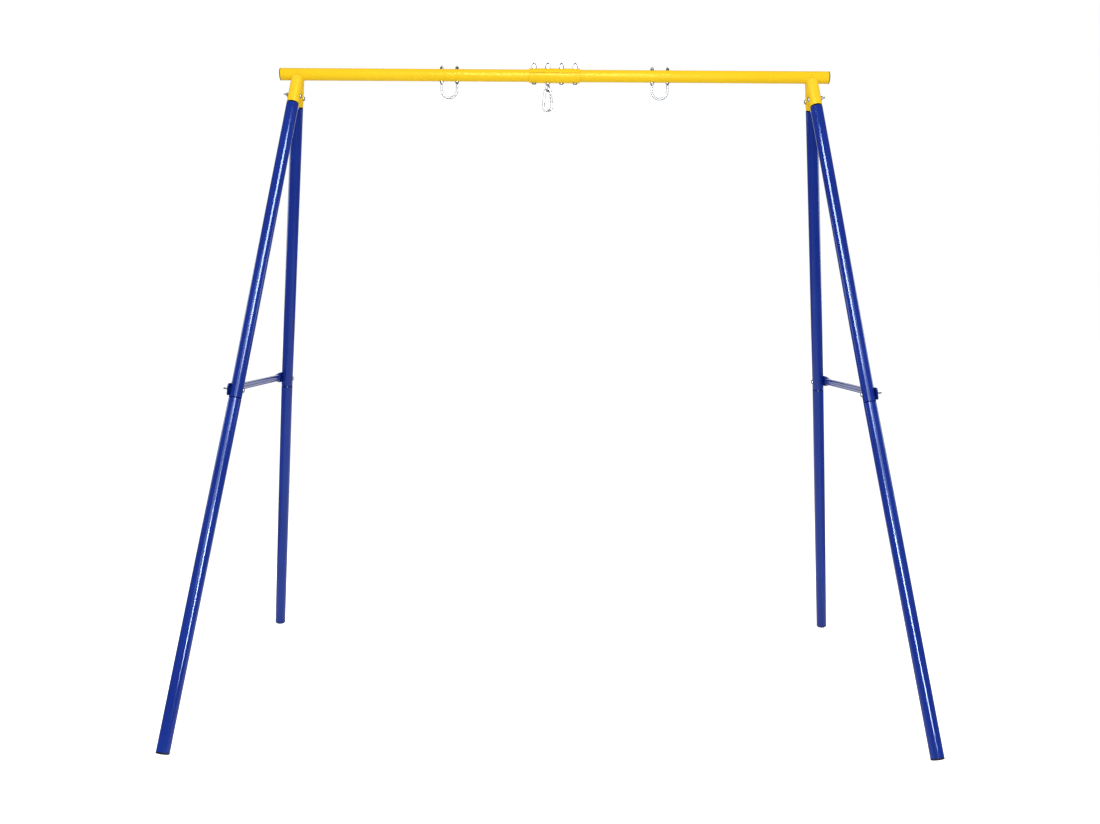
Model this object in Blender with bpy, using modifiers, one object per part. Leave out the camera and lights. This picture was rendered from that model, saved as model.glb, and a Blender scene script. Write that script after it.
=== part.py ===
"""A-frame swing stand: a two-piece top beam on two bolted A-frames, with U-bolt swing
hangers and a snap hook on an eye bolt. Metres, +Z up, X along the beam, front at -Y."""

import math

import bmesh
import bpy
from mathutils import Matrix, Vector

# Main tube, the same for the beam, the sockets and the legs
TUBE_RADIUS = 0.01905
TUBE_WALL = 0.0015
TUBE_SIDES = 20

# Gaps between pieces
SEAT_GAP = 0.0003
SLIP_GAP = 0.0003
HOLE_GAP = 0.0003

# Beam
BEAM_AXIS_HEIGHT = 1.948
BEAM_HALF_LENGTH = 0.8633
CAP_FLANGE_THICKNESS = 0.0022
CAP_DOME = 0.0013
CAP_FLANGE_OVERHANG = 0.0003
CAP_STEM_LENGTH = 0.018
CAP_WALL = 0.002

# A-frames
BEAM_END_OVERHANG = 0.0543
FRAME_LEAN = math.radians(7.0)
LEG_SPREAD = math.radians(18.92)
KNEE_BEND = math.radians(1.81)
SOCKET_REACH = 0.100
SOCKET_ROOT_LENGTH = 0.004
SOCKET_BORE_START = 0.0225
SOCKET_NECK_LENGTH = 0.044
SOCKET_BOLT_REACH = 0.0746
KNEE_REACH = 1.0665
KNEE_NECK_LENGTH = 0.075
KNEE_BEND_OFFSET = 0.010
SOCKET_CONE_LENGTH = 0.0048
KNEE_CONE_LENGTH = 0.0030

# Foot plugs
PLUG_FLANGE_THICKNESS = 0.003
PLUG_FLANGE_OVERHANG = 0.0003
PLUG_DOME = 0.0026
PLUG_STEM_LENGTH = 0.022
PLUG_WALL = 0.0025
FOOT_FLAT_DEPTH = 0.0012

# Braces
BRACE_RADIUS = 0.011
BRACE_WALL = 0.0012
BRACE_SLIT = 0.0005
BRACE_END_HALF_HEIGHT = 0.018
BRACE_END_MARGIN = 0.025
BRACE_FLAT_BACK = 0.025
BRACE_TAPER_LENGTH = 0.045
BRACE_TAPER_STEPS = 3
BRACE_END_SQUARENESS = 4.0
BRACE_CORNER = 0.008
BRACE_BOLT_ABOVE_KNEE = 0.0249
BRACE_SIDES = 16

# Centre sleeve
SLEEVE_HALF_LENGTH = 0.0797
SLEEVE_WALL = 0.0032
SLEEVE_FIT_GAP = 0.0004
SLEEVE_SEAM_ANGLE = math.radians(12.6)
SLEEVE_SEAM_GAP = 0.0016
SLEEVE_BOLT_COUNT = 4
SLEEVE_BOLT_PITCH = 0.0432
SLEEVE_END_ROUND = 0.0008
SLEEVE_UPPER_STEPS = 8
SLEEVE_LOWER_STEPS = 12
EYE_BOLT_INDEX = 1

# M8 through bolts in the sleeve
M8_RADIUS = 0.0039
M8_HEAD_RADIUS = 0.0072
M8_HEAD_HEIGHT = 0.0046
M8_NUT_FLATS = 0.013
CAP_NUT_HEX_HEIGHT = 0.0085
CAP_NUT_DOME_HEIGHT = 0.0085
CAP_NUT_DOME_RADIUS = 0.0052
CAP_NUT_BORE_DEPTH = 0.012

# M6 bolts in the sockets and braces
M6_RADIUS = 0.0029
M6_HEAD_RADIUS = 0.0070
M6_HEAD_HEIGHT = 0.0048
M6_NUT_FLATS = 0.010
M6_NUT_HEIGHT = 0.005
SOCKET_BOLT_END = 0.0323
BRACE_BOLT_END = 0.0390
FASTENER_SIDES = 12
HEAD_EDGE_SHARE = 0.3

# U-bolt swing hangers
UBOLT_X = 0.332
UBOLT_LEG_SPACING = 0.0483
UBOLT_WIRE_RADIUS = 0.0030
UBOLT_BOTTOM = 0.0735
UBOLT_TOP_STICKOUT = 0.0095
UBOLT_NUT_FLATS = 0.0105
UBOLT_NUT_HEIGHT = 0.005
UBOLT_ARC_STEPS = 12
FLANGE_NUT_HEIGHT = 0.0065
FLANGE_NUT_RADIUS = 0.0066
FLANGE_NUT_RIM = 0.0014
FLANGE_NUT_FLATS = 0.010

# Eye bolt
EYE_TURN = math.radians(-25.0)
EYE_RING_RADIUS = 0.0105
EYE_WIRE_RADIUS = 0.0030
EYE_RING_STEPS = 18
EYE_WIRE_SIDES = 8
EYE_RING_SINK = 0.0012
EYE_COLLAR_RADIUS = 0.0068
EYE_COLLAR_HEIGHT = 0.0022

# Snap hook, in the plane of its own bent bar
HOOK_TURN = math.radians(-10.0)
HOOK_WIRE_RADIUS = 0.00325
HOOK_TOP_RADIUS = 0.0090
HOOK_BOTTOM_RADIUS = 0.0138
HOOK_CENTRE_DISTANCE = 0.0447
HOOK_TOP_STEPS = 10
HOOK_BOTTOM_STEPS = 14
HOOK_HINGE_DROP = 0.0060
HOOK_NOSE_RISE = 0.0085
HOOK_TAB_THICKNESS = 0.0026
HOOK_KNUCKLE_RADIUS = 0.0034
HOOK_KNUCKLE_HALF_WIDTH = 0.0033
KNUCKLE_SIDES = 14
HOOK_SLOT_CLEARANCE = 0.0003
HOOK_END_GAP = 0.0004
HOOK_PIN_RADIUS = 0.0010
HOOK_PIN_GAP = 0.0002
HOOK_TONGUE_LENGTH = 0.0050
HOOK_TONGUE_INWARD = 0.0020
HOOK_TONGUE_OUTWARD = 0.0010

# Sides of a bent round bar come from this curve resolution
WIRE_RESOLUTION = 2

# Colours: base colour, metallic, roughness
BLUE_PAINT = ((0.025, 0.035, 0.30), 0.0, 0.18)
YELLOW_PAINT = ((0.90, 0.58, 0.015), 0.0, 0.22)
BLACK_PLASTIC = ((0.012, 0.012, 0.014), 0.0, 0.45)
ZINC_PLATE = ((0.55, 0.56, 0.58), 1.0, 0.30)
POLISHED_STEEL = ((0.72, 0.73, 0.75), 1.0, 0.16)

# Sizes that follow from the ones above
FRAME_X = BEAM_HALF_LENGTH - BEAM_END_OVERHANG
TUBE_BORE_RADIUS = TUBE_RADIUS - TUBE_WALL
NECK_RADIUS = TUBE_BORE_RADIUS - SLIP_GAP
SLEEVE_INNER_RADIUS = TUBE_RADIUS + SLEEVE_FIT_GAP
SLEEVE_OUTER_RADIUS = SLEEVE_INNER_RADIUS + SLEEVE_WALL
BRACE_BOLT_REACH = KNEE_REACH - BRACE_BOLT_ABOVE_KNEE
BRACE_HALF_SPAN = BRACE_BOLT_REACH * math.sin(LEG_SPREAD)
BRACE_DROP = BRACE_BOLT_REACH * math.cos(LEG_SPREAD)
BRACE_HALF_LENGTH = BRACE_HALF_SPAN + BRACE_END_MARGIN
BRACE_TAPER_START = BRACE_HALF_SPAN - BRACE_FLAT_BACK - BRACE_TAPER_LENGTH
BRACE_END_HALF_THICKNESS = BRACE_WALL + BRACE_SLIT / 2
BRACE_OFFSET = TUBE_RADIUS + SEAT_GAP + BRACE_END_HALF_THICKNESS

# Modelling tolerances, steps and reaches of the cutters
MERGE = 0.00001
HEAD_DOME_STEPS = 2
NUT_DOME_STEPS = 3
PLUG_DOME_STEPS = 2
HEXAGON_SIDES = 6
EMPTY_SIZE = 0.05
BEVEL_ANGLE = math.radians(50)
OVERSHOOT = 0.010
FLOOR_REACH = 3.0
SMOOTH_ANGLE = math.radians(35)
QUARTER = math.radians(90)

# The beam and its sockets are equal tubes that meet edge to edge
CLOSE_FIT_SOLVER = "MANIFOLD"

SIDES = (("left", -1), ("right", 1))
ENDS = (("front", -1), ("rear", 1))


# Scene set-up


def clear_scene():
    for obj in list(bpy.data.objects):
        bpy.data.objects.remove(obj, do_unlink=True)


def new_collection(name):
    collection = bpy.data.collections.new(name)
    bpy.context.scene.collection.children.link(collection)
    return collection


clear_scene()
PARTS = new_collection("AFrameSwingStand")
CUTTERS = new_collection("Cutters")


# Building blocks


def paint(name, look):
    colour, metallic, roughness = look
    material = bpy.data.materials.new(name)
    material.use_nodes = True
    shader = material.node_tree.nodes["Principled BSDF"]
    shader.inputs["Base Color"].default_value = (*colour, 1.0)
    shader.inputs["Metallic"].default_value = metallic
    shader.inputs["Roughness"].default_value = roughness
    material.diffuse_color = (*colour, 1.0)
    return material


def finish(obj, look):
    """Gives an object its own material, also when it shares its mesh."""
    if not obj.data.materials:
        obj.data.materials.append(None)
    slot = obj.material_slots[0]
    slot.link = "OBJECT"
    slot.material = paint(f"{obj.name}_finish", look)
    return obj


def add_object(name, data, parent=None, matrix=None, collection=None):
    """Links data as an object under a parent, at a local matrix."""
    obj = bpy.data.objects.new(name, data)
    (collection or PARTS).objects.link(obj)
    obj.parent = parent
    if matrix is not None:
        obj.matrix_local = matrix
    return obj


def add_empty(name, matrix, parent=None):
    empty = add_object(name, None, parent, matrix)
    empty.empty_display_size = EMPTY_SIZE
    return empty


def smooth(mesh):
    mesh.shade_smooth()
    mesh.set_sharp_from_angle(angle=SMOOTH_ANGLE)
    return mesh


def baked(obj):
    """The evaluated mesh of an object, with its seams welded; the object is removed."""
    bpy.context.view_layer.update()
    evaluated = obj.evaluated_get(bpy.context.evaluated_depsgraph_get())
    mesh = bpy.data.meshes.new_from_object(evaluated)
    bpy.data.objects.remove(obj, do_unlink=True)
    work = bmesh.new()
    work.from_mesh(mesh)
    bmesh.ops.remove_doubles(work, verts=work.verts, dist=MERGE)
    work.to_mesh(mesh)
    work.free()
    mesh.materials.clear()
    return smooth(mesh)


def boolean(obj, other, operation="DIFFERENCE", solver="EXACT"):
    modifier = obj.modifiers.new(operation.title(), "BOOLEAN")
    modifier.operation = operation
    modifier.solver = solver
    modifier.object = other


def as_cutter(obj):
    obj.hide_render = True
    obj.display_type = "WIRE"
    return obj


def joined(base, additions=(), cuts=()):
    """Adds and cuts helper shapes, then bakes the result and removes the helpers."""
    for helper in additions:
        boolean(base, helper, "UNION")
    for helper in cuts:
        boolean(base, helper)
    mesh = baked(base)
    for helper in (*additions, *cuts):
        bpy.data.objects.remove(helper, do_unlink=True)
    return mesh


def turned(name, profile, sides, closed=False, parent=None, matrix=None, collection=None):
    """Turns a profile of (radius, height) points, listed down the outer side, about local Z."""
    mesh = bpy.data.meshes.new(name)
    last = len(profile) - 1
    edges = [(index, index + 1) for index in range(last)]
    if closed:
        edges.append((last, 0))
    mesh.from_pydata([(radius, 0.0, height) for radius, height in profile], edges, [])
    obj = add_object(name, mesh, parent, matrix, collection)
    screw = obj.modifiers.new("Turn", "SCREW")
    screw.axis = "Z"
    screw.steps = sides
    screw.render_steps = sides
    screw.use_merge_vertices = True
    screw.merge_threshold = MERGE
    return obj


def rod(name, radius, top, bottom, sides=FASTENER_SIDES, parent=None, matrix=None):
    """A plain round helper shape along local Z of its matrix."""
    profile = [(0.0, top), (radius, top), (radius, bottom), (0.0, bottom)]
    return as_cutter(turned(name, profile, sides, parent=parent, matrix=matrix, collection=CUTTERS))


def box(name, low, high, parent=None, matrix=None):
    """A plain box helper shape between two corners."""
    mesh = bpy.data.meshes.new(name)
    work = bmesh.new()
    bmesh.ops.create_cube(work, size=1.0)
    bmesh.ops.scale(work, vec=Vector(high) - Vector(low), verts=work.verts)
    bmesh.ops.translate(work, vec=(Vector(high) + Vector(low)) / 2, verts=work.verts)
    work.to_mesh(mesh)
    work.free()
    return as_cutter(add_object(name, mesh, parent, matrix, CUTTERS))


def wire(name, points, radius):
    """A round bar with capped ends along a list of points."""
    curve = bpy.data.curves.new(name, "CURVE")
    curve.dimensions = "3D"
    curve.bevel_depth = radius
    curve.bevel_resolution = WIRE_RESOLUTION
    curve.use_fill_caps = True
    spline = curve.splines.new("POLY")
    spline.points.add(len(points) - 1)
    for point, place in zip(spline.points, points):
        point.co = (*place, 1.0)
    return add_object(name, baked(add_object(name, curve)), collection=CUTTERS)


def arc(centre, radius, start, end, steps):
    """Points of an arc in a plane, from one angle to another."""
    angles = [start + (end - start) * index / steps for index in range(steps + 1)]
    return [(centre[0] + radius * math.cos(a), centre[1] + radius * math.sin(a)) for a in angles]


def in_xz(point):
    return (point[0], 0.0, point[1])


def dome(radius, base, height, steps):
    """Profile points from a rim at base to the crown of a dome of signed height."""
    angles = [QUARTER * index / steps for index in range(steps + 1)]
    return [(radius * math.cos(a), base + height * math.sin(a)) for a in angles]


# Local Z turned onto +X, and onto -X
ONTO_X = Matrix.Rotation(QUARTER, 4, "Y")
ONTO_MINUS_X = Matrix.Rotation(-QUARTER, 4, "Y")

# Local Z turned onto +Y, and no turn at all
ONTO_Y = Matrix.Rotation(-QUARTER, 4, "X")
IN_PLACE = Matrix.Identity(4)

# Turns a bolt hole so that its corners stay off the edges of the tube
HALF_STEP = Matrix.Rotation(math.pi / FASTENER_SIDES, 4, "Z")


def along_beam(sign):
    return ONTO_X if sign > 0 else ONTO_MINUS_X


# Fasteners


def round_head_bolt_mesh(radius, head_radius, head_height, under_head, shank_top):
    """A bolt along local Z: a low round head below under_head, and a shank up to shank_top."""
    edge = head_height * HEAD_EDGE_SHARE
    profile = [(0.0, shank_top), (radius, shank_top), (radius, under_head), (head_radius, under_head)]
    profile += dome(head_radius, under_head - edge, edge - head_height, HEAD_DOME_STEPS)
    return baked(turned("round_head_bolt", profile, FASTENER_SIDES))


def hexagon(flats, height):
    """A plain hexagonal prism standing on local z = 0."""
    mesh = bpy.data.meshes.new("hexagon")
    work = bmesh.new()
    corner = flats / 2 / math.cos(math.pi / HEXAGON_SIDES)
    bmesh.ops.create_cone(
        work,
        cap_ends=True,
        segments=HEXAGON_SIDES,
        radius1=corner,
        radius2=corner,
        depth=height,
    )
    bmesh.ops.translate(work, vec=(0.0, 0.0, height / 2), verts=work.verts)
    work.to_mesh(mesh)
    work.free()
    return add_object("hexagon", mesh)


def through_bore(radius, height):
    return rod("bore", radius + HOLE_GAP, height + OVERSHOOT, -OVERSHOOT)


def hex_nut_mesh(flats, height, thread_radius):
    return joined(hexagon(flats, height), cuts=[through_bore(thread_radius, height)])


def cap_nut_mesh():
    """A hexagon with a domed top and a blind bore, base at local z = 0."""
    profile = dome(CAP_NUT_DOME_RADIUS, CAP_NUT_HEX_HEIGHT, CAP_NUT_DOME_HEIGHT, NUT_DOME_STEPS)[::-1]
    profile += [(CAP_NUT_DOME_RADIUS, CAP_NUT_HEX_HEIGHT / 2), (0.0, CAP_NUT_HEX_HEIGHT / 2)]
    cap = turned("cap", profile, FASTENER_SIDES)
    bore = rod("bore", M8_RADIUS + HOLE_GAP, CAP_NUT_BORE_DEPTH, -OVERSHOOT)
    return joined(hexagon(M8_NUT_FLATS, CAP_NUT_HEX_HEIGHT), [cap], [bore])


def flange_nut_mesh():
    """A hexagon under a round flange with a through bore; base at local z = 0, flange on top."""
    hexagonal = hexagon(FLANGE_NUT_FLATS, FLANGE_NUT_HEIGHT - FLANGE_NUT_RIM / 2)
    flange = rod("flange", FLANGE_NUT_RADIUS, FLANGE_NUT_HEIGHT, FLANGE_NUT_HEIGHT - FLANGE_NUT_RIM)
    return joined(hexagonal, [flange], [through_bore(UBOLT_WIRE_RADIUS, FLANGE_NUT_HEIGHT)])


# Frames of reference


BEAM_AXIS = add_empty("beam_axis", Matrix.Translation((0.0, 0.0, BEAM_AXIS_HEIGHT)))


def make_frame_plane(side, sign):
    """The plane of one A-frame: local X points outboard, local Z up the plane."""
    turn = Matrix.Rotation(0.0 if sign > 0 else math.pi, 4, "Z")
    lean = Matrix.Rotation(-FRAME_LEAN, 4, "Y")
    place = Matrix.Translation((sign * FRAME_X, 0.0, 0.0))
    return add_empty(f"a_frame_{side}_plane", place @ turn @ lean, BEAM_AXIS)


def make_leg_axis(side, side_sign, end, end_sign):
    """The axis of one leg: local Z runs up the leg, local X points outboard."""
    spread = Matrix.Rotation(LEG_SPREAD * end_sign * side_sign, 4, "X")
    return add_empty(f"leg_axis_{end}_{side}", spread, PLANES[side])


PLANES = {side: make_frame_plane(side, sign) for side, sign in SIDES}
LEGS = {}
for a_side, a_side_sign in SIDES:
    for an_end, an_end_sign in ENDS:
        LEGS[an_end, a_side] = make_leg_axis(a_side, a_side_sign, an_end, an_end_sign)


def crosswise(reach):
    """Local Z along a leg's outboard direction, at a reach down the leg."""
    return Matrix.Translation((0.0, 0.0, -reach)) @ ONTO_X


def cross_hole(name, reach, leg):
    """A cutter for a bolt hole crosswise through a leg."""
    through = TUBE_RADIUS + OVERSHOOT
    place = crosswise(reach) @ HALF_STEP
    return rod(name, M6_RADIUS + HOLE_GAP, through, -through, parent=leg, matrix=place)


# Beam


def ubolt_places(sign):
    return [sign * UBOLT_X + half * UBOLT_LEG_SPACING / 2 for half in (-1, 1)]


def sleeve_bolt_places():
    middle = (SLEEVE_BOLT_COUNT - 1) / 2
    return [SLEEVE_BOLT_PITCH * (index - middle) for index in range(SLEEVE_BOLT_COUNT)]


def beam_hole(name, x, radius):
    """A cutter for an upright hole through the beam or its sleeve."""
    through = SLEEVE_OUTER_RADIUS + OVERSHOOT
    place = Matrix.Translation((x, 0.0, 0.0)) @ HALF_STEP
    return rod(name, radius + HOLE_GAP, through, -through, parent=BEAM_AXIS, matrix=place)


def make_socket(end, side):
    """The round stub of one leg socket, with a reduced root inside the beam."""
    root = (TUBE_RADIUS + TUBE_BORE_RADIUS) / 2
    profile = [(0.0, 0.0), (root, 0.0), (TUBE_RADIUS, -SOCKET_ROOT_LENGTH)]
    profile += [(TUBE_RADIUS, -SOCKET_REACH), (0.0, -SOCKET_REACH)]
    leg = LEGS[end, side]
    return as_cutter(turned(f"socket_{end}_{side}", profile, TUBE_SIDES, parent=leg, collection=CUTTERS))


def socket_bores(side):
    """One cutter for the bores of both sockets, which meet under the beam."""
    top = -SOCKET_BORE_START
    bottom = -SOCKET_REACH - OVERSHOOT
    front, rear = (
        rod(f"socket_bore_{end}_{side}", TUBE_BORE_RADIUS, top, bottom, TUBE_SIDES, LEGS[end, side])
        for end, _ in ENDS
    )
    boolean(front, rear, "UNION", CLOSE_FIT_SOLVER)
    return front


def make_beam(side, sign):
    """One beam half: the tube with its two leg sockets, drilled and bored."""
    start = SEAT_GAP / 2
    profile = [(0.0, BEAM_HALF_LENGTH), (TUBE_RADIUS, BEAM_HALF_LENGTH)]
    profile += [(TUBE_RADIUS, start), (0.0, start)]
    beam = turned(f"beam_{side}", profile, TUBE_SIDES, parent=BEAM_AXIS, matrix=along_beam(sign))
    cuts = []
    for end, _ in ENDS:
        boolean(beam, make_socket(end, side), "UNION", CLOSE_FIT_SOLVER)
        cuts.append(cross_hole(f"socket_hole_{end}_{side}", SOCKET_BOLT_REACH, LEGS[end, side]))
    for index, x in enumerate(ubolt_places(sign)):
        cuts.append(beam_hole(f"u_bolt_hole_{side}_{index}", x, UBOLT_WIRE_RADIUS))
    for index, x in enumerate(sleeve_bolt_places()):
        if x * sign > 0:
            cuts.append(beam_hole(f"beam_sleeve_hole_{index}", x, M8_RADIUS))
    cuts.append(socket_bores(side))
    name = f"beam_bore_{side}"
    end = BEAM_HALF_LENGTH + OVERSHOOT
    cuts.append(rod(name, TUBE_BORE_RADIUS, end, -OVERSHOOT, TUBE_SIDES, BEAM_AXIS, along_beam(sign)))
    for cut in cuts:
        boolean(beam, cut, solver=CLOSE_FIT_SOLVER)
    finish(beam, YELLOW_PAINT)


def plug_profile(face, flange, dome_height, flange_radius, stem_length, wall):
    """A push-in plug along local Z: domed face upwards from z = face, cup-shaped stem below."""
    stem_radius = TUBE_BORE_RADIUS - SLIP_GAP
    profile = dome(flange_radius, face + flange, dome_height, PLUG_DOME_STEPS)[::-1]
    profile += [(flange_radius, face), (stem_radius, face), (stem_radius, face - stem_length)]
    profile += [(stem_radius - wall, face - stem_length), (stem_radius - wall, face), (0.0, face)]
    return profile


def make_beam_cap(side, sign):
    profile = plug_profile(
        BEAM_HALF_LENGTH + SEAT_GAP,
        CAP_FLANGE_THICKNESS,
        CAP_DOME,
        TUBE_RADIUS + CAP_FLANGE_OVERHANG,
        CAP_STEM_LENGTH,
        CAP_WALL,
    )
    cap = turned(f"beam_cap_{side}", profile, TUBE_SIDES, parent=BEAM_AXIS, matrix=along_beam(sign))
    finish(cap, BLACK_PLASTIC)


# Legs


def swaged_tube_profile(neck_top, cone_top, cone_length, bottom):
    """Closed wall profile of a tube with a reduced neck: outer side down, inner side up."""
    cone_base = cone_top - cone_length
    neck_bore = NECK_RADIUS - TUBE_WALL
    return [
        (NECK_RADIUS, neck_top),
        (NECK_RADIUS, cone_top),
        (TUBE_RADIUS, cone_base),
        (TUBE_RADIUS, bottom),
        (TUBE_BORE_RADIUS, bottom),
        (TUBE_BORE_RADIUS, cone_base - TUBE_WALL),
        (neck_bore, cone_top - TUBE_WALL),
        (neck_bore, neck_top),
    ]


def make_upper_leg(end, side):
    leg = LEGS[end, side]
    neck_top = SOCKET_NECK_LENGTH - SOCKET_REACH
    profile = swaged_tube_profile(neck_top, -SOCKET_REACH - SEAT_GAP, SOCKET_CONE_LENGTH, -KNEE_REACH)
    tube = turned(f"upper_leg_{end}_{side}", profile, TUBE_SIDES, closed=True, parent=leg)
    boolean(tube, cross_hole(f"upper_leg_top_hole_{end}_{side}", SOCKET_BOLT_REACH, leg))
    boolean(tube, cross_hole(f"upper_leg_low_hole_{end}_{side}", BRACE_BOLT_REACH, leg))
    finish(tube, BLUE_PAINT)


def knee_matrix(end_sign, side_sign):
    """Local Z up the lower leg, with the origin at the bend just below its cone."""
    place = Matrix.Translation((0.0, 0.0, -(KNEE_REACH + KNEE_BEND_OFFSET)))
    return place @ Matrix.Rotation(KNEE_BEND * end_sign * side_sign, 4, "X")


def lower_leg_length():
    """From the bend to the tube's end, with the plug's trimmed rim on the floor."""
    axis = LEGS["front", "right"].matrix_world @ knee_matrix(-1, 1)
    upright = axis.col[2].z
    lean = math.sqrt(1 - upright**2)
    rim_drop = (SEAT_GAP + PLUG_FLANGE_THICKNESS) * upright + (TUBE_RADIUS + PLUG_FLANGE_OVERHANG) * lean
    return (axis.translation.z - rim_drop + FOOT_FLAT_DEPTH) / upright


bpy.context.view_layer.update()
LOWER_LEG_LENGTH = lower_leg_length()
FLOOR_TRIM = box(
    "floor_trim",
    (-FLOOR_REACH, -FLOOR_REACH, -OVERSHOOT),
    (FLOOR_REACH, FLOOR_REACH, 0.0),
)


def bend_neck(mesh, angle):
    """Turns the part of a lower leg above its origin back onto the upper leg's axis."""
    work = bmesh.new()
    work.from_mesh(mesh)
    above = [vert for vert in work.verts if vert.co.z > 0.0]
    bmesh.ops.rotate(work, verts=above, cent=(0.0, 0.0, 0.0), matrix=Matrix.Rotation(-angle, 3, "X"))
    work.to_mesh(mesh)
    work.free()
    return smooth(mesh)


def make_lower_leg(end, end_sign, side, side_sign):
    leg = LEGS[end, side]
    name = f"lower_leg_{end}_{side}"
    neck_top = KNEE_BEND_OFFSET + KNEE_NECK_LENGTH
    cone_top = KNEE_BEND_OFFSET - SEAT_GAP
    profile = swaged_tube_profile(neck_top, cone_top, KNEE_CONE_LENGTH, -LOWER_LEG_LENGTH)
    straight = baked(turned(name, profile, TUBE_SIDES, closed=True))
    mesh = bend_neck(straight, KNEE_BEND * end_sign * side_sign)
    tube = add_object(name, mesh, leg, knee_matrix(end_sign, side_sign))
    boolean(tube, cross_hole(f"lower_leg_hole_{end}_{side}", BRACE_BOLT_REACH, leg))
    finish(tube, BLUE_PAINT)


def make_foot_plug(end, end_sign, side, side_sign):
    profile = plug_profile(
        LOWER_LEG_LENGTH + SEAT_GAP,
        PLUG_FLANGE_THICKNESS,
        PLUG_DOME,
        TUBE_RADIUS + PLUG_FLANGE_OVERHANG,
        PLUG_STEM_LENGTH,
        PLUG_WALL,
    )
    downwards = knee_matrix(end_sign, side_sign) @ Matrix.Rotation(math.pi, 4, "X")
    plug = turned(f"foot_plug_{end}_{side}", profile, TUBE_SIDES, parent=LEGS[end, side], matrix=downwards)
    boolean(plug, FLOOR_TRIM)
    finish(plug, BLACK_PLASTIC)


# Braces


def brace_ring(along, inset):
    """One section of the brace, round in the middle and pressed flat towards its ends."""
    share = min(max((abs(along) - BRACE_TAPER_START) / BRACE_TAPER_LENGTH, 0.0), 1.0)
    share = share * share * (3 - 2 * share)
    height = BRACE_RADIUS + share * (BRACE_END_HALF_HEIGHT - BRACE_RADIUS) - inset
    thickness = BRACE_RADIUS + share * (BRACE_END_HALF_THICKNESS - BRACE_RADIUS) - inset
    squareness = 1 + share * (BRACE_END_SQUARENESS - 1)
    ring = []
    for index in range(BRACE_SIDES):
        angle = 2 * math.pi * (index + 0.5) / BRACE_SIDES
        across = max(-1.0, min(1.0, squareness * math.sin(angle)))
        ring.append((thickness * across, along, height * math.cos(angle)))
    return ring


def brace_mesh():
    """A hollow loft between unlike sections, open through a slit at each end."""
    step = BRACE_TAPER_LENGTH / BRACE_TAPER_STEPS
    half = [BRACE_TAPER_START + step * index for index in range(BRACE_TAPER_STEPS + 1)]
    half.append(BRACE_HALF_LENGTH)
    stations = [-place for place in reversed(half)] + half
    work = bmesh.new()
    outer, inner = (
        [[work.verts.new(point) for point in brace_ring(place, inset)] for place in stations]
        for inset in (0.0, BRACE_WALL)
    )
    loops = outer + inner[::-1]
    for ring, following in zip(loops, loops[1:] + loops[:1]):
        for index in range(BRACE_SIDES):
            other = (index + 1) % BRACE_SIDES
            work.faces.new((ring[index], ring[other], following[other], following[index]))
    bmesh.ops.recalc_face_normals(work, faces=work.faces)
    mesh = bpy.data.meshes.new("brace")
    work.to_mesh(mesh)
    work.free()
    return smooth(mesh)


def trim_brace_end(brace, side, end, end_sign):
    """Drills the bolt hole of one brace end and cuts its two corners off."""
    plane = PLANES[side]
    bolt = Matrix.Translation((0.0, end_sign * BRACE_HALF_SPAN, -BRACE_DROP)) @ ONTO_X
    name = f"brace_hole_{end}_{side}"
    hole = rod(name, M6_RADIUS + HOLE_GAP, 2 * BRACE_OFFSET, 0.0, parent=plane, matrix=bolt)
    boolean(brace, hole)
    reach = BRACE_CORNER / math.sqrt(2)
    for level, level_sign in (("low", -1), ("high", 1)):
        height = level_sign * BRACE_END_HALF_HEIGHT - BRACE_DROP
        corner = Matrix.Translation((BRACE_OFFSET, end_sign * BRACE_HALF_LENGTH, height))
        diagonal = corner @ Matrix.Rotation(QUARTER / 2, 4, "X")
        name = f"brace_corner_{end}_{level}_{side}"
        corner_low = (-OVERSHOOT, -reach, -reach)
        corner_high = (OVERSHOOT, reach, reach)
        boolean(brace, box(name, corner_low, corner_high, plane, diagonal))


def make_brace(side):
    place = Matrix.Translation((BRACE_OFFSET, 0.0, -BRACE_DROP))
    brace = add_object(f"brace_{side}", brace_mesh(), PLANES[side], place)
    for end, end_sign in ENDS:
        trim_brace_end(brace, side, end, end_sign)
    finish(brace, BLUE_PAINT)


# Frame bolts


def make_leg_fasteners(end, side, nut_mesh):
    """The socket bolt and the brace bolt of one leg, heads inboard and nuts outboard."""
    leg = LEGS[end, side]
    brace_face = BRACE_OFFSET + BRACE_END_HALF_THICKNESS
    for role, reach, nut_seat, shank_end in (
        ("socket", SOCKET_BOLT_REACH, TUBE_RADIUS, SOCKET_BOLT_END),
        ("brace", BRACE_BOLT_REACH, brace_face, BRACE_BOLT_END),
    ):
        under_head = -TUBE_RADIUS - SEAT_GAP
        mesh = round_head_bolt_mesh(M6_RADIUS, M6_HEAD_RADIUS, M6_HEAD_HEIGHT, under_head, shank_end)
        finish(add_object(f"{role}_bolt_{end}_{side}", mesh, leg, crosswise(reach)), ZINC_PLATE)
        seated = crosswise(reach) @ Matrix.Translation((0.0, 0.0, nut_seat + SEAT_GAP))
        finish(add_object(f"{role}_nut_{end}_{side}", nut_mesh, leg, seated), ZINC_PLATE)


# Centre sleeve


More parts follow.
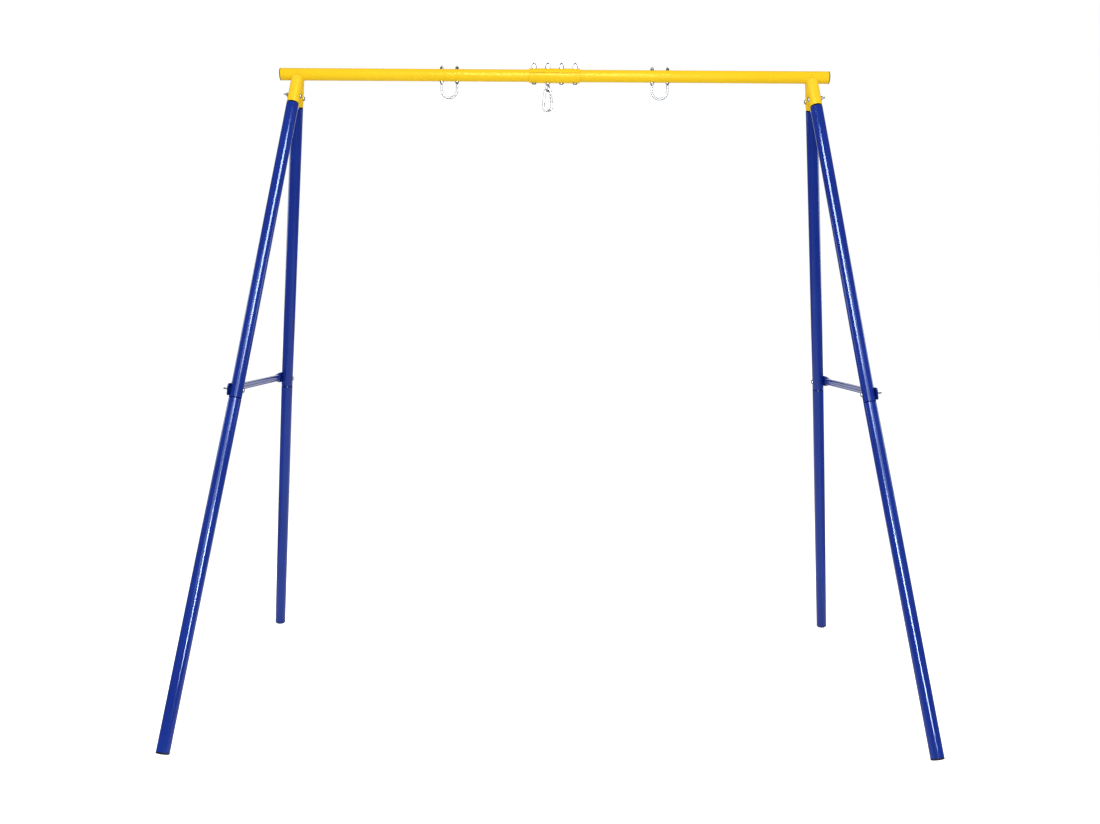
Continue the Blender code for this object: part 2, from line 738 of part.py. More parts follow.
def make_sleeve_shell(name, start, end, steps):
    """A half shell about local X: an arc strip thickened outwards, drilled for the bolts."""
    work = bmesh.new()
    points = arc((0.0, 0.0), SLEEVE_INNER_RADIUS, start, end, steps)
    left = [work.verts.new((-SLEEVE_HALF_LENGTH, y, z)) for y, z in points]
    right = [work.verts.new((SLEEVE_HALF_LENGTH, y, z)) for y, z in points]
    for index in range(steps):
        work.faces.new((left[index], left[index + 1], right[index + 1], right[index]))
    mesh = bpy.data.meshes.new(name)
    work.to_mesh(mesh)
    work.free()
    shell = add_object(name, mesh, BEAM_AXIS)
    solidify = shell.modifiers.new("Wall", "SOLIDIFY")
    solidify.thickness = SLEEVE_WALL
    solidify.offset = 1.0
    solidify.use_even_offset = True
    bevel = shell.modifiers.new("Rounded edges", "BEVEL")
    bevel.width = SLEEVE_END_ROUND
    bevel.segments = 1
    bevel.limit_method = "ANGLE"
    bevel.angle_limit = BEVEL_ANGLE
    for index, x in enumerate(sleeve_bolt_places()):
        boolean(shell, beam_hole(f"{name}_hole_{index}", x, M8_RADIUS))
    finish(shell, YELLOW_PAINT)


def make_sleeve():
    half_gap = SLEEVE_SEAM_GAP / 2 / SLEEVE_OUTER_RADIUS
    upper = SLEEVE_SEAM_ANGLE + half_gap
    lower = SLEEVE_SEAM_ANGLE - half_gap
    make_sleeve_shell("sleeve_upper", upper, math.pi - upper, SLEEVE_UPPER_STEPS)
    make_sleeve_shell("sleeve_lower", math.pi - lower, 2 * math.pi + lower, SLEEVE_LOWER_STEPS)


def make_sleeve_bolts():
    seat = SLEEVE_OUTER_RADIUS + SEAT_GAP
    shank_top = seat + CAP_NUT_BORE_DEPTH - SEAT_GAP
    nut_mesh = cap_nut_mesh()
    number = 0
    for index, x in enumerate(sleeve_bolt_places()):
        at_bolt = Matrix.Translation((x, 0.0, 0.0))
        at_nut = Matrix.Translation((x, 0.0, seat))
        if index == EYE_BOLT_INDEX:
            finish(add_object("eye_bolt_nut", nut_mesh, BEAM_AXIS, at_nut), POLISHED_STEEL)
            make_eye_bolt(at_bolt, -seat, shank_top)
            continue
        number += 1
        mesh = round_head_bolt_mesh(M8_RADIUS, M8_HEAD_RADIUS, M8_HEAD_HEIGHT, -seat, shank_top)
        finish(add_object(f"sleeve_bolt_{number}", mesh, BEAM_AXIS, at_bolt), ZINC_PLATE)
        finish(add_object(f"sleeve_nut_{number}", nut_mesh, BEAM_AXIS, at_nut), POLISHED_STEEL)


# Eye bolt and snap hook


def make_eye_bolt(place, seat, shank_top):
    """Shank, collar and ring in one; the ring lies in local YZ and carries the snap hook."""
    collar_base = seat - EYE_COLLAR_HEIGHT
    ring_centre = collar_base + EYE_RING_SINK - EYE_WIRE_RADIUS - EYE_RING_RADIUS
    profile = [(0.0, shank_top), (M8_RADIUS, shank_top), (M8_RADIUS, seat)]
    profile += [(EYE_COLLAR_RADIUS, seat), (EYE_COLLAR_RADIUS, collar_base), (0.0, collar_base)]
    shank = turned("eye_bolt_shank", profile, FASTENER_SIDES)
    bpy.ops.mesh.primitive_torus_add(
        major_segments=EYE_RING_STEPS,
        minor_segments=EYE_WIRE_SIDES,
        major_radius=EYE_RING_RADIUS,
        minor_radius=EYE_WIRE_RADIUS,
        location=(0.0, 0.0, ring_centre),
        rotation=(0.0, QUARTER, 0.0),
    )
    mesh = joined(shank, [bpy.context.object])
    turned_place = place @ Matrix.Rotation(EYE_TURN, 4, "Z")
    finish(add_object("eye_bolt", mesh, BEAM_AXIS, turned_place), ZINC_PLATE)
    hook_height = ring_centre - EYE_RING_RADIUS + EYE_WIRE_RADIUS + SEAT_GAP + HOOK_WIRE_RADIUS
    hook_place = Matrix.Translation((0.0, 0.0, hook_height)) @ Matrix.Rotation(HOOK_TURN, 4, "Z")
    make_snap_hook(place @ hook_place)


HOOK_FLARE = math.asin((HOOK_BOTTOM_RADIUS - HOOK_TOP_RADIUS) / HOOK_CENTRE_DISTANCE)
HOOK_TOP_CENTRE = Vector((0.0, -HOOK_TOP_RADIUS))
HOOK_BOTTOM_CENTRE = Vector((0.0, -HOOK_TOP_RADIUS - HOOK_CENTRE_DISTANCE))
HOOK_OUTWARD = Vector((math.cos(HOOK_FLARE), math.sin(HOOK_FLARE)))
HOOK_DOWN = Vector((math.sin(HOOK_FLARE), -math.cos(HOOK_FLARE)))
HOOK_HINGE = HOOK_TOP_CENTRE + HOOK_OUTWARD * HOOK_TOP_RADIUS + HOOK_DOWN * HOOK_HINGE_DROP
HOOK_NOSE = HOOK_BOTTOM_CENTRE + HOOK_OUTWARD * HOOK_BOTTOM_RADIUS - HOOK_DOWN * HOOK_NOSE_RISE
HOOK_GATE_LENGTH = (HOOK_NOSE - HOOK_HINGE).length - HOOK_END_GAP


def knuckle(name, radius, low, high, hinge=IN_PLACE):
    """A disc about the gate's hinge axis, which is local Y of the hinge."""
    return rod(name, radius, high, low, KNUCKLE_SIDES, matrix=hinge @ ONTO_Y)


def hook_body_mesh(to_hinge):
    """Bent bar with a tab at the hinge and a slotted nose, in the frame of its top bar."""
    path = [HOOK_HINGE]
    path += arc(HOOK_TOP_CENTRE, HOOK_TOP_RADIUS, HOOK_FLARE, math.pi - HOOK_FLARE, HOOK_TOP_STEPS)
    start = math.pi - HOOK_FLARE
    end = 2 * math.pi + HOOK_FLARE
    path += arc(HOOK_BOTTOM_CENTRE, HOOK_BOTTOM_RADIUS, start, end, HOOK_BOTTOM_STEPS)
    path.append(HOOK_NOSE)
    bar = wire("hook_bar", [in_xz(point) for point in path], HOOK_WIRE_RADIUS)
    width = HOOK_KNUCKLE_HALF_WIDTH
    disc = knuckle("hook_knuckle", HOOK_KNUCKLE_RADIUS, -width, width, to_hinge)
    bore = knuckle("hook_pin_bore", HOOK_PIN_RADIUS + HOOK_PIN_GAP, -OVERSHOOT, OVERSHOOT, to_hinge)
    half_tab = HOOK_TAB_THICKNESS / 2
    fork_room = HOOK_KNUCKLE_RADIUS + HOOK_END_GAP
    near_side = knuckle("tab_near_side", fork_room, -OVERSHOOT, -half_tab, to_hinge)
    far_side = knuckle("tab_far_side", fork_room, half_tab, OVERSHOOT, to_hinge)
    half_slot = half_tab + HOOK_SLOT_CLEARANCE
    slot = box(
        "nose_slot",
        (-OVERSHOOT, -half_slot, -HOOK_GATE_LENGTH - HOOK_TONGUE_LENGTH - 2 * HOOK_END_GAP),
        (HOOK_TONGUE_OUTWARD + HOOK_END_GAP, half_slot, -HOOK_GATE_LENGTH),
        matrix=to_hinge,
    )
    return joined(bar, [disc], [near_side, far_side, bore, slot])


def hook_gate_mesh():
    """Straight bar with a fork at the hinge and a tongue at its free end, hinge at the origin."""
    bar = wire("gate_bar", [(0.0, 0.0, 0.0), (0.0, 0.0, -HOOK_GATE_LENGTH)], HOOK_WIRE_RADIUS)
    width = HOOK_KNUCKLE_HALF_WIDTH
    disc = knuckle("gate_knuckle", HOOK_KNUCKLE_RADIUS, -width, width)
    half_tab = HOOK_TAB_THICKNESS / 2
    tongue = box(
        "gate_tongue",
        (-HOOK_TONGUE_INWARD, -half_tab, -HOOK_GATE_LENGTH - HOOK_TONGUE_LENGTH),
        (HOOK_TONGUE_OUTWARD, half_tab, -HOOK_GATE_LENGTH + HOOK_WIRE_RADIUS),
    )
    half_slot = half_tab + HOOK_SLOT_CLEARANCE
    fork = knuckle("gate_fork", HOOK_KNUCKLE_RADIUS + HOOK_END_GAP, -half_slot, half_slot)
    bore = knuckle("gate_pin_bore", HOOK_PIN_RADIUS + HOOK_PIN_GAP, -OVERSHOOT, OVERSHOOT)
    return joined(bar, [disc, tongue], [fork, bore])


def make_snap_hook(place):
    """Hook body hung from its top bar, gate on its hinge and the pin between them."""
    hanger = add_empty("carabiner_hanger", place, BEAM_AXIS)
    to_hinge = Matrix.Translation(in_xz(HOOK_HINGE)) @ Matrix.Rotation(-HOOK_FLARE, 4, "Y")
    finish(add_object("carabiner_body", hook_body_mesh(to_hinge), hanger), POLISHED_STEEL)
    finish(add_object("carabiner_gate", hook_gate_mesh(), hanger, to_hinge), POLISHED_STEEL)
    pin = knuckle("gate_pin", HOOK_PIN_RADIUS, -HOOK_KNUCKLE_HALF_WIDTH, HOOK_KNUCKLE_HALF_WIDTH)
    finish(add_object("carabiner_gate_pin", baked(pin), hanger, to_hinge @ ONTO_Y), ZINC_PLATE)


# Swing hangers


def make_ubolt(side, sign):
    """A bent round bar through the beam, its arc below, with two nuts on each leg."""
    middle = Matrix.Translation((sign * UBOLT_X, 0.0, 0.0))
    bend = UBOLT_LEG_SPACING / 2
    bend_centre = (0.0, bend + UBOLT_WIRE_RADIUS - UBOLT_BOTTOM)
    top = TUBE_RADIUS + UBOLT_TOP_STICKOUT
    bottom_arc = arc(bend_centre, bend, math.pi, 2 * math.pi, UBOLT_ARC_STEPS)
    path = [(-bend, top), *bottom_arc, (bend, top)]
    bar = baked(wire("u_bar", [in_xz(point) for point in path], UBOLT_WIRE_RADIUS))
    finish(add_object(f"u_bolt_{side}", bar, BEAM_AXIS, middle), ZINC_PLATE)
    upper = hex_nut_mesh(UBOLT_NUT_FLATS, UBOLT_NUT_HEIGHT, UBOLT_WIRE_RADIUS)
    lower = flange_nut_mesh()
    for number, x in enumerate(ubolt_places(sign), start=1):
        above = Matrix.Translation((x, 0.0, TUBE_RADIUS + SEAT_GAP))
        below = Matrix.Translation((x, 0.0, -TUBE_RADIUS - SEAT_GAP - FLANGE_NUT_HEIGHT))
        name = f"u_bolt_top_nut_{side}_{number}"
        finish(add_object(name, upper, BEAM_AXIS, above), ZINC_PLATE)
        name = f"u_bolt_lower_nut_{side}_{number}"
        finish(add_object(name, lower, BEAM_AXIS, below), ZINC_PLATE)


# Assembly


def build():
    frame_nut = hex_nut_mesh(M6_NUT_FLATS, M6_NUT_HEIGHT, M6_RADIUS)
    for side, side_sign in SIDES:
        make_beam(side, side_sign)
        make_beam_cap(side, side_sign)
        make_ubolt(side, side_sign)
        make_brace(side)
        for end, end_sign in ENDS:
            make_upper_leg(end, side)
            make_lower_leg(end, end_sign, side, side_sign)
            make_foot_plug(end, end_sign, side, side_sign)
            make_leg_fasteners(end, side, frame_nut)
    make_sleeve()
    make_sleeve_bolts()


build()
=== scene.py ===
"""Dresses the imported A-frame swing stand: smooth tubes, weld beads, threads, and painted, plated
and moulded finishes, on a white studio floor. Metres, +Z up, X along the beam, front at -Y."""

import math

import bmesh
import bpy
from mathutils import Matrix, Vector


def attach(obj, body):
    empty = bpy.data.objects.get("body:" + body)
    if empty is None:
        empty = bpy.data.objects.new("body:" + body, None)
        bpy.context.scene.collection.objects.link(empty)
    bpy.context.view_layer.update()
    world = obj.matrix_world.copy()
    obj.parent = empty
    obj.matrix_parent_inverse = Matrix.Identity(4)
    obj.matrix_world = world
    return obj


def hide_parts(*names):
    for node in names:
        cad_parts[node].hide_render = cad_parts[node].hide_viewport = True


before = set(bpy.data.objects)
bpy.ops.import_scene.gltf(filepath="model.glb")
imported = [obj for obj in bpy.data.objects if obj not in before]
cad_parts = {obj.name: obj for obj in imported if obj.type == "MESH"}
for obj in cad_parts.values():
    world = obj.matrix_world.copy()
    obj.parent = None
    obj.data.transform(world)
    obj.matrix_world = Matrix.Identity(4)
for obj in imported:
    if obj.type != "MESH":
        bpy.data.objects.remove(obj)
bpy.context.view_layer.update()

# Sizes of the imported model
TUBE_RADIUS = 0.01905
TUBE_WALL = 0.0015
TUBE_BORE = TUBE_RADIUS - TUBE_WALL
SEAT_GAP = 0.0003
NECK_RADIUS = TUBE_BORE - SEAT_GAP
BEAM_HEIGHT = 1.948
BEAM_HALF_LENGTH = 0.8633
CAP_FLANGE = 0.0022
CAP_DOME = 0.0013
RIM_OVERHANG = 0.0003
FRAME_X = 0.809
FRAME_LEAN = math.radians(7.0)
LEG_SPREAD = math.radians(18.92)
KNEE_BEND = math.radians(1.81)
SOCKET_REACH = 0.100
SOCKET_NECK = 0.044
SOCKET_BOLT_REACH = 0.0746
KNEE_REACH = 1.0665
KNEE_NECK = 0.075
KNEE_OFFSET = 0.010
SOCKET_CONE = 0.0048
KNEE_CONE = 0.0030
PLUG_FLANGE = 0.003
PLUG_DOME = 0.0026
FOOT_FLAT = 0.0012
BRACE_RADIUS = 0.011
BRACE_WALL = 0.0012
BRACE_SLIT = 0.0005
BRACE_END_HALF_HEIGHT = 0.018
BRACE_END_MARGIN = 0.025
BRACE_FLAT_BACK = 0.025
BRACE_TAPER = 0.045
BRACE_CORNER = 0.008
BRACE_CORNER_DEPTH = 0.0064
BRACE_BOLT_ABOVE_KNEE = 0.0249
SLEEVE_HALF_LENGTH = 0.0797
SLEEVE_INNER = 0.01945
SLEEVE_OUTER = SLEEVE_INNER + 0.0032
SLEEVE_SEAM = math.radians(12.6)
SLEEVE_SEAM_GAP = 0.0016
SLEEVE_PITCH = 0.0432
M8_RADIUS = 0.0039
M6_RADIUS = 0.0029
SOCKET_BOLT_END = 0.0323
BRACE_BOLT_END = 0.0390
UBOLT_X = 0.332
UBOLT_SPACING = 0.0483
UBOLT_WIRE = 0.0030
UBOLT_BOTTOM = 0.0735
UBOLT_TOP = TUBE_RADIUS + 0.0095
FLANGE_NUT_HEIGHT = 0.0065
EYE_TURN = math.radians(-25.0)
EYE_RING = 0.0105
EYE_WIRE = 0.0030
EYE_COLLAR_HEIGHT = 0.0022
EYE_SINK = 0.0012
HOOK_TURN = math.radians(-10.0)
HOOK_WIRE = 0.00325
HOOK_TOP_RADIUS = 0.0090
HOOK_BOTTOM_RADIUS = 0.0138
HOOK_CENTRES = 0.0447
HOOK_HINGE_DROP = 0.0060
HOOK_NOSE_RISE = 0.0085
HOOK_TAB = 0.0026
KNUCKLE_RADIUS = 0.0034
KNUCKLE_HALF_WIDTH = 0.0033

# Details of the finished pieces. The turns of the nuts are in degrees.
NECK_ROUND = 0.0004
THROAT_ROUND = 0.0006
SHOULDER_ROUND = 0.0010
MOUTH_ROUND = 0.0006
GROOVE_DEPTH = 0.0003
BEAM_END_ROUND = 0.0004
BEAM_BORE_ROUND = 0.0003
SOCKET_MOUTH_ROUND = 0.0007
SOCKET_BORE_ROUND = 0.0005
SOCKET_ROOT = 0.012
SOCKET_BORE_TOP = 0.045
CAP_STEM = 0.018
PLUG_STEM = 0.022
BEAD_STEP = 0.0006
BEAD_SCALE = 0.0026
SADDLE_BEAD = 0.0013
CROTCH_BEAD = 0.0012
BEAD_SWELL = (0.90, 0.14)
BEAD_DRIFT = (0.02, 0.37)
THREAD_PITCH = 0.0010
THREAD_DEPTH = 0.54 * THREAD_PITCH
THREAD_FIT = 0.0002
THREAD_ROWS = 8
THREAD_SLOPE = 1.25
NUT_CHAMFER = math.radians(30)
NUT_HEIGHT = 0.005
NUT_CROWN = 1.04
LEG_NUT_FLATS = 0.010
UBOLT_NUT_FLATS = 0.0105
FLANGE_NUT_FLATS = 0.010
FLANGE_NUT_CROWN = 0.0052
FLANGE_RADIUS = 0.0066
FLANGE_THICKNESS = 0.0016
FLANGE_BORE_CHAMFER = 0.0003
FLANGE_EDGE = ((0.0004, 0.0015), (0.0, 0.0011), (0.0, 0.0003), (0.0003, 0.0))
HEAD_SHANK = 0.004
HEAD_EDGE_SHARE = 0.3
HEAD_EDGE_ROUND = (0.0003, 0.0004)
LEG_HEAD = (0.0070, 0.0048)
LEG_THREAD_START = 0.010
LEG_THREAD_END = 0.009
SLEEVE_HEAD = (0.0072, 0.0046)
SLEEVE_ROUND = 0.0008
SLEEVE_LIP = 0.0006
SLEEVE_STEPS = 40
CAP_NUT_TURNS = (30, 34, 27, 31)
CAP_NUT_FLATS = 0.013
CAP_NUT_CROWN = 0.0067
CAP_NUT_HEX = 0.0085
CAP_NUT_DOME_RADIUS = 0.0050
CAP_NUT_DOME_BASE = 0.0095
CAP_NUT_DOME_HEIGHT = 0.0075
CAP_NUT_ROUND = 0.0001
CAP_NUT_DOME_LEAD = 0.0003
EYE_COLLAR_RADIUS = 0.0068
EYE_ROOT_RADIUS = 0.0042
EYE_ROOT_DEPTH = 0.0022
EYE_ROOT_TAPER = 0.0002
EYE_ROUNDS = (0.0003, 0.0007, 0.0008)
HOOK_PLAY = 0.0004
HOOK_SLOT_PLAY = 0.0003
HOOK_SLOT_DEPTH = 0.0014
TONGUE_LENGTH = 0.0050
TONGUE_FROM = -0.0020
TONGUE_TO = 0.0010
PIN_RADIUS = 0.0010
PIN_BORE = 0.0012
RIVET_RADIUS = 0.0017
RIVET_DOME = 0.0005
HOOK_EDGE_ROUND = 0.00025
HOOK_EDGE_ANGLE = math.radians(40)
HELPER_REACH = 0.010
UBOLT_THREAD_BELOW = 0.006
UBOLT_THREAD_LAP = 0.0008
UBOLT_NUT_TURNS = (17, 23)

BRACE_BOLT_REACH = KNEE_REACH - BRACE_BOLT_ABOVE_KNEE
BRACE_HALF_SPAN = BRACE_BOLT_REACH * math.sin(LEG_SPREAD)
BRACE_DROP = BRACE_BOLT_REACH * math.cos(LEG_SPREAD)
BRACE_HALF_LENGTH = BRACE_HALF_SPAN + BRACE_END_MARGIN
BRACE_TAPER_START = BRACE_HALF_SPAN - BRACE_FLAT_BACK - BRACE_TAPER
BRACE_END_HALF_THICKNESS = BRACE_WALL + BRACE_SLIT / 2
BRACE_OFFSET = TUBE_RADIUS + SEAT_GAP + BRACE_END_HALF_THICKNESS

ROUND_SIDES = 64
SMALL_SIDES = 36
WIRE_SIDES = 28
HEX_SIDES = 72
AXIS_RADIUS = 0.00002
SHARP_ANGLE = math.radians(30)
SIDES = (("left", -1), ("right", 1))
ENDS = (("front", -1), ("rear", 1))
QUARTER = math.radians(90)
ONTO_X = Matrix.Rotation(QUARTER, 4, "Y")
ONTO_Y = Matrix.Rotation(-QUARTER, 4, "X")
BEAM = Matrix.Translation((0.0, 0.0, BEAM_HEIGHT))


# Materials


def add_node(tree, kind, inputs=None, **settings):
    node = tree.nodes.new(kind)
    for key, value in settings.items():
        setattr(node, key, value)
    for key, value in (inputs or {}).items():
        socket = node.inputs[key]
        if isinstance(value, bpy.types.NodeSocket):
            tree.links.new(value, socket)
        else:
            socket.default_value = value
    return node


def noise(tree, coords, scale, detail=2.0, rough=0.5):
    """A noise between 0 and 1, with its scale in cells per metre."""
    inputs = {"Vector": coords, "Scale": scale, "Detail": detail, "Roughness": rough}
    return add_node(tree, "ShaderNodeTexNoise", inputs).outputs["Fac"]


def spread(tree, value, source, target):
    """Maps a value from one range to another, and holds it at the ends."""
    inputs = dict(zip(("From Min", "From Max", "To Min", "To Max"), (*source, *target)), Value=value)
    return add_node(tree, "ShaderNodeMapRange", inputs, clamp=True).outputs["Result"]


def calculate(tree, operation, *values):
    return add_node(tree, "ShaderNodeMath", dict(enumerate(values)), operation=operation).outputs[0]


def blend_colours(tree, share, first, second):
    mix = add_node(tree, "ShaderNodeMix", data_type="RGBA")
    for socket, value in ((mix.inputs[0], share), (mix.inputs[6], first), (mix.inputs[7], second)):
        if isinstance(value, bpy.types.NodeSocket):
            tree.links.new(value, socket)
        else:
            socket.default_value = value if socket is mix.inputs[0] else (*value, 1.0)
    return mix.outputs[2]


def bump(tree, height, strength, distance, under=None):
    inputs = {"Height": height, "Strength": strength, "Distance": distance}
    if under:
        inputs["Normal"] = under
    return add_node(tree, "ShaderNodeBump", inputs).outputs["Normal"]


def start_material(name):
    material = bpy.data.materials.new(name)
    material.use_nodes = True
    tree = material.node_tree
    shader = tree.nodes["Principled BSDF"]
    coords = tree.nodes.new("ShaderNodeTexCoord").outputs["Object"]
    return material, tree, shader, coords


FULL = (0.0, 1.0)
NOISE_MIDDLE = (0.3, 0.7)

PAINT_DRIFT = 5.0
PAINT_THIN_EDGE = (0.53, 0.62)
PAINT_RUBS = 2.2
PAINT_RUB_STRETCH = (60.0, 60.0, 6.0)
PAINT_RUB_RANGE = (0.42, 0.72)
PAINT_RIPPLE = 260.0
PAINT_GRAIN = 1500.0

PLATE_TINT = 90.0
PLATE_TINT_RANGE = (0.35, 0.65)
PLATE_PATCHES = 240.0
PLATE_PATCH_RANGE = (0.35, 0.7)
PLATE_GRAIN = 1500.0

PLASTIC_MOTTLE = 60.0
PLASTIC_SCUFFED_EDGE = (0.52, 0.60)
PLASTIC_SHEEN = 150.0
PLASTIC_TEXTURE = 1300.0
PLASTIC_IOR = 1.3


def powder_coat(name, deep, plain, worn, groove_shade_colour, roughness, ior, gloss, sheen):
    """Baked paint: colour drift, thin edges, painted shade in the grooves under the joints, rub marks and an
    orange-peel ripple.
    """
    material, tree, shader, coords = start_material(name)
    drift = spread(tree, noise(tree, coords, PAINT_DRIFT, 3.0), NOISE_MIDDLE, FULL)
    colour = blend_colours(tree, drift, deep, plain)
    point = tree.nodes.new("ShaderNodeNewGeometry").outputs["Pointiness"]
    colour = blend_colours(tree, spread(tree, point, PAINT_THIN_EDGE, (0.0, 0.5)), colour, worn)
    # Painted shade: the marked grooves under the joints take a near-black colour that stands in for the
    # shadow in the gap.
    groove_shade = add_node(tree, "ShaderNodeAttribute", attribute_name="groove_shade").outputs["Fac"]
    tree.links.new(blend_colours(tree, groove_shade, colour, groove_shade_colour), shader.inputs["Base Color"])
    stretch = add_node(tree, "ShaderNodeMapping", {"Vector": coords, "Scale": PAINT_RUB_STRETCH})
    rubs = noise(tree, stretch.outputs["Vector"], PAINT_RUBS, 5.0, 0.7)
    tree.links.new(spread(tree, rubs, PAINT_RUB_RANGE, roughness), shader.inputs["Roughness"])
    ripple = bump(tree, noise(tree, coords, PAINT_RIPPLE, 1.0), strength=0.05, distance=0.00003)
    grain = bump(tree, noise(tree, coords, PAINT_GRAIN, 1.0), strength=0.04, distance=0.00001, under=ripple)
    tree.links.new(grain, shader.inputs["Normal"])
    shader.inputs["IOR"].default_value = ior
    shader.inputs["Specular IOR Level"].default_value = gloss
    shader.inputs["Specular Tint"].default_value = (*sheen, 1.0)
    return material


def plated(name, cool, warm, roughness, grain):
    """Plated steel: a passivate tint that drifts, dull patches, and fine rolled or forged grain."""
    material, tree, shader, coords = start_material(name)
    tint = spread(tree, noise(tree, coords, PLATE_TINT, 3.0), PLATE_TINT_RANGE, FULL)
    tree.links.new(blend_colours(tree, tint, cool, warm), shader.inputs["Base Color"])
    shader.inputs["Metallic"].default_value = 1.0
    patches = noise(tree, coords, PLATE_PATCHES, 4.0, 0.6)
    tree.links.new(spread(tree, patches, PLATE_PATCH_RANGE, roughness), shader.inputs["Roughness"])
    rolled = bump(tree, noise(tree, coords, PLATE_GRAIN, 3.0), strength=grain, distance=0.00005)
    tree.links.new(rolled, shader.inputs["Normal"])
    return material


def moulded(name, dark, grey, roughness):
    """Moulded black plastic with a fine spark-eroded texture and scuffs on its raised edges."""
    material, tree, shader, coords = start_material(name)
    point = tree.nodes.new("ShaderNodeNewGeometry").outputs["Pointiness"]
    scuff = spread(tree, point, PLASTIC_SCUFFED_EDGE, (0.0, 0.6))
    mottle = spread(tree, noise(tree, coords, PLASTIC_MOTTLE, 3.0), NOISE_MIDDLE, (0.0, 0.35))
    colour = blend_colours(tree, mottle, dark, grey)
    tree.links.new(blend_colours(tree, scuff, colour, grey), shader.inputs["Base Color"])
    sheen = spread(tree, noise(tree, coords, PLASTIC_SHEEN, 3.0), NOISE_MIDDLE, roughness)
    tree.links.new(sheen, shader.inputs["Roughness"])
    texture = bump(tree, noise(tree, coords, PLASTIC_TEXTURE, 2.0), strength=0.25, distance=0.00008)
    tree.links.new(texture, shader.inputs["Normal"])
    shader.inputs["IOR"].default_value = PLASTIC_IOR
    return material


BLUE = powder_coat(
    "blue_powder_coat",
    deep=(0.006, 0.023, 0.235), plain=(0.009, 0.032, 0.275),
    # Next line: the worn colour, then the near-black painted shade for the grooves under the joints.
    worn=(0.02, 0.06, 0.34), groove_shade_colour=(0.001, 0.002, 0.014),
    roughness=(0.11, 0.15), ior=1.42, gloss=0.5, sheen=(0.72, 0.84, 1.0),
)
YELLOW = powder_coat(
    "yellow_powder_coat",
    deep=(0.890, 0.562, 0.014), plain=(0.920, 0.598, 0.019),
    # Next line: the worn colour, then the dark brown painted shade for marked grooves.
    worn=(0.95, 0.69, 0.07), groove_shade_colour=(0.12, 0.06, 0.003),
    roughness=(0.24, 0.32), ior=1.30, gloss=0.17, sheen=(1.0, 1.0, 0.45),
)
ZINC = plated(
    "zinc_plate", cool=(0.32, 0.33, 0.36), warm=(0.38, 0.37, 0.35), roughness=(0.28, 0.44), grain=0.25
)
# Painted shade: a darker copy of the zinc plate for the U-bolt wire, toning down the lights' bright
# reflections on it.
DIMMED_WIRE_ZINC = plated(
    "dimmed_wire_zinc_plate", cool=(0.20, 0.21, 0.23), warm=(0.26, 0.25, 0.23), roughness=(0.34, 0.48), grain=0.25
)
# Painted shade: a darker copy of the zinc plate for the sleeve bolts and the U-bolts' top nuts, standing in
# for the dark reflections they show.
SHADED_ZINC = plated(
    "shaded_zinc_plate", cool=(0.16, 0.17, 0.18), warm=(0.24, 0.23, 0.21), roughness=(0.25, 0.42), grain=0.25
)
CHROME = plated(
    "polished_steel", cool=(0.36, 0.37, 0.40), warm=(0.42, 0.41, 0.40), roughness=(0.10, 0.20), grain=0.10
)
PLASTIC = moulded(
    "black_plastic", dark=(0.004, 0.004, 0.005), grey=(0.022, 0.022, 0.025), roughness=(0.45, 0.60)
)

LOOKS = {
    "blue_paint": BLUE,
    "yellow_paint": YELLOW,
    "zinc_steel": ZINC,
    "polished_steel": CHROME,
    "black_plastic": PLASTIC,
}


# Mesh building


class Shape:
    """Collects closed shells, and turns them into one piece that stands for a node."""

    def __init__(self):
        self.verts = []
        self.faces = []

    def loft(self, rings, matrix=None, looped=False, capped=True):
        first = len(self.verts)
        count = len(rings[0])
        for ring in rings:
            self.verts += [matrix @ Vector(point) if matrix else Vector(point) for point in ring]
        for row in range(len(rings) if looped else len(rings) - 1):
            low = first + row * count
            high = first + (row + 1) % len(rings) * count
            for index in range(count):
                after = (index + 1) % count
                self.faces.append((low + index, low + after, high + after, high + index))
        if capped and not looped:
            last = first + (len(rings) - 1) * count
            self.faces.append(tuple(range(first + count - 1, first - 1, -1)))
            self.faces.append(tuple(range(last, last + count)))

    def lathe(self, profile, matrix=None, sides=ROUND_SIDES, looped=False):
        self.loft([circle(radius, height, sides) for radius, height in profile], matrix, looped)

    def sweep(self, path, radius, matrix=None, sides=SMALL_SIDES, looped=False):
        """A round bar along a path of vectors; the radius may be one number or one per point."""
        radii = radius if isinstance(radius, list) else [radius] * len(path)
        last = len(path) - 1
        rings = []
        side = None
        for index, point in enumerate(path):
            if looped:
                along = path[(index + 1) % len(path)] - path[index - 1]
            else:
                along = path[min(index + 1, last)] - path[max(index - 1, 0)]
            along.normalize()
            side = along.orthogonal() if side is None else side - along * side.dot(along)
            side.normalize()
            other = along.cross(side)
            angles = [2 * math.pi * step / sides for step in range(sides)]
            rings.append([point + radii[index] * (side * math.cos(a) + other * math.sin(a)) for a in angles])
        self.loft(rings, matrix, looped)

    def mesh(self, name):
        mesh = bpy.data.meshes.new(name)
        mesh.from_pydata(self.verts, [], self.faces)
        work = bmesh.new()
        work.from_mesh(mesh)
        bmesh.ops.recalc_face_normals(work, faces=work.faces)
        work.to_mesh(mesh)
        work.free()
        return mesh


def circle(radius, height, sides):
    radius = max(radius, AXIS_RADIUS)
    angles = [2 * math.pi * (step + 0.5) / sides for step in range(sides)]
    return [(radius * math.cos(a), radius * math.sin(a), height) for a in angles]


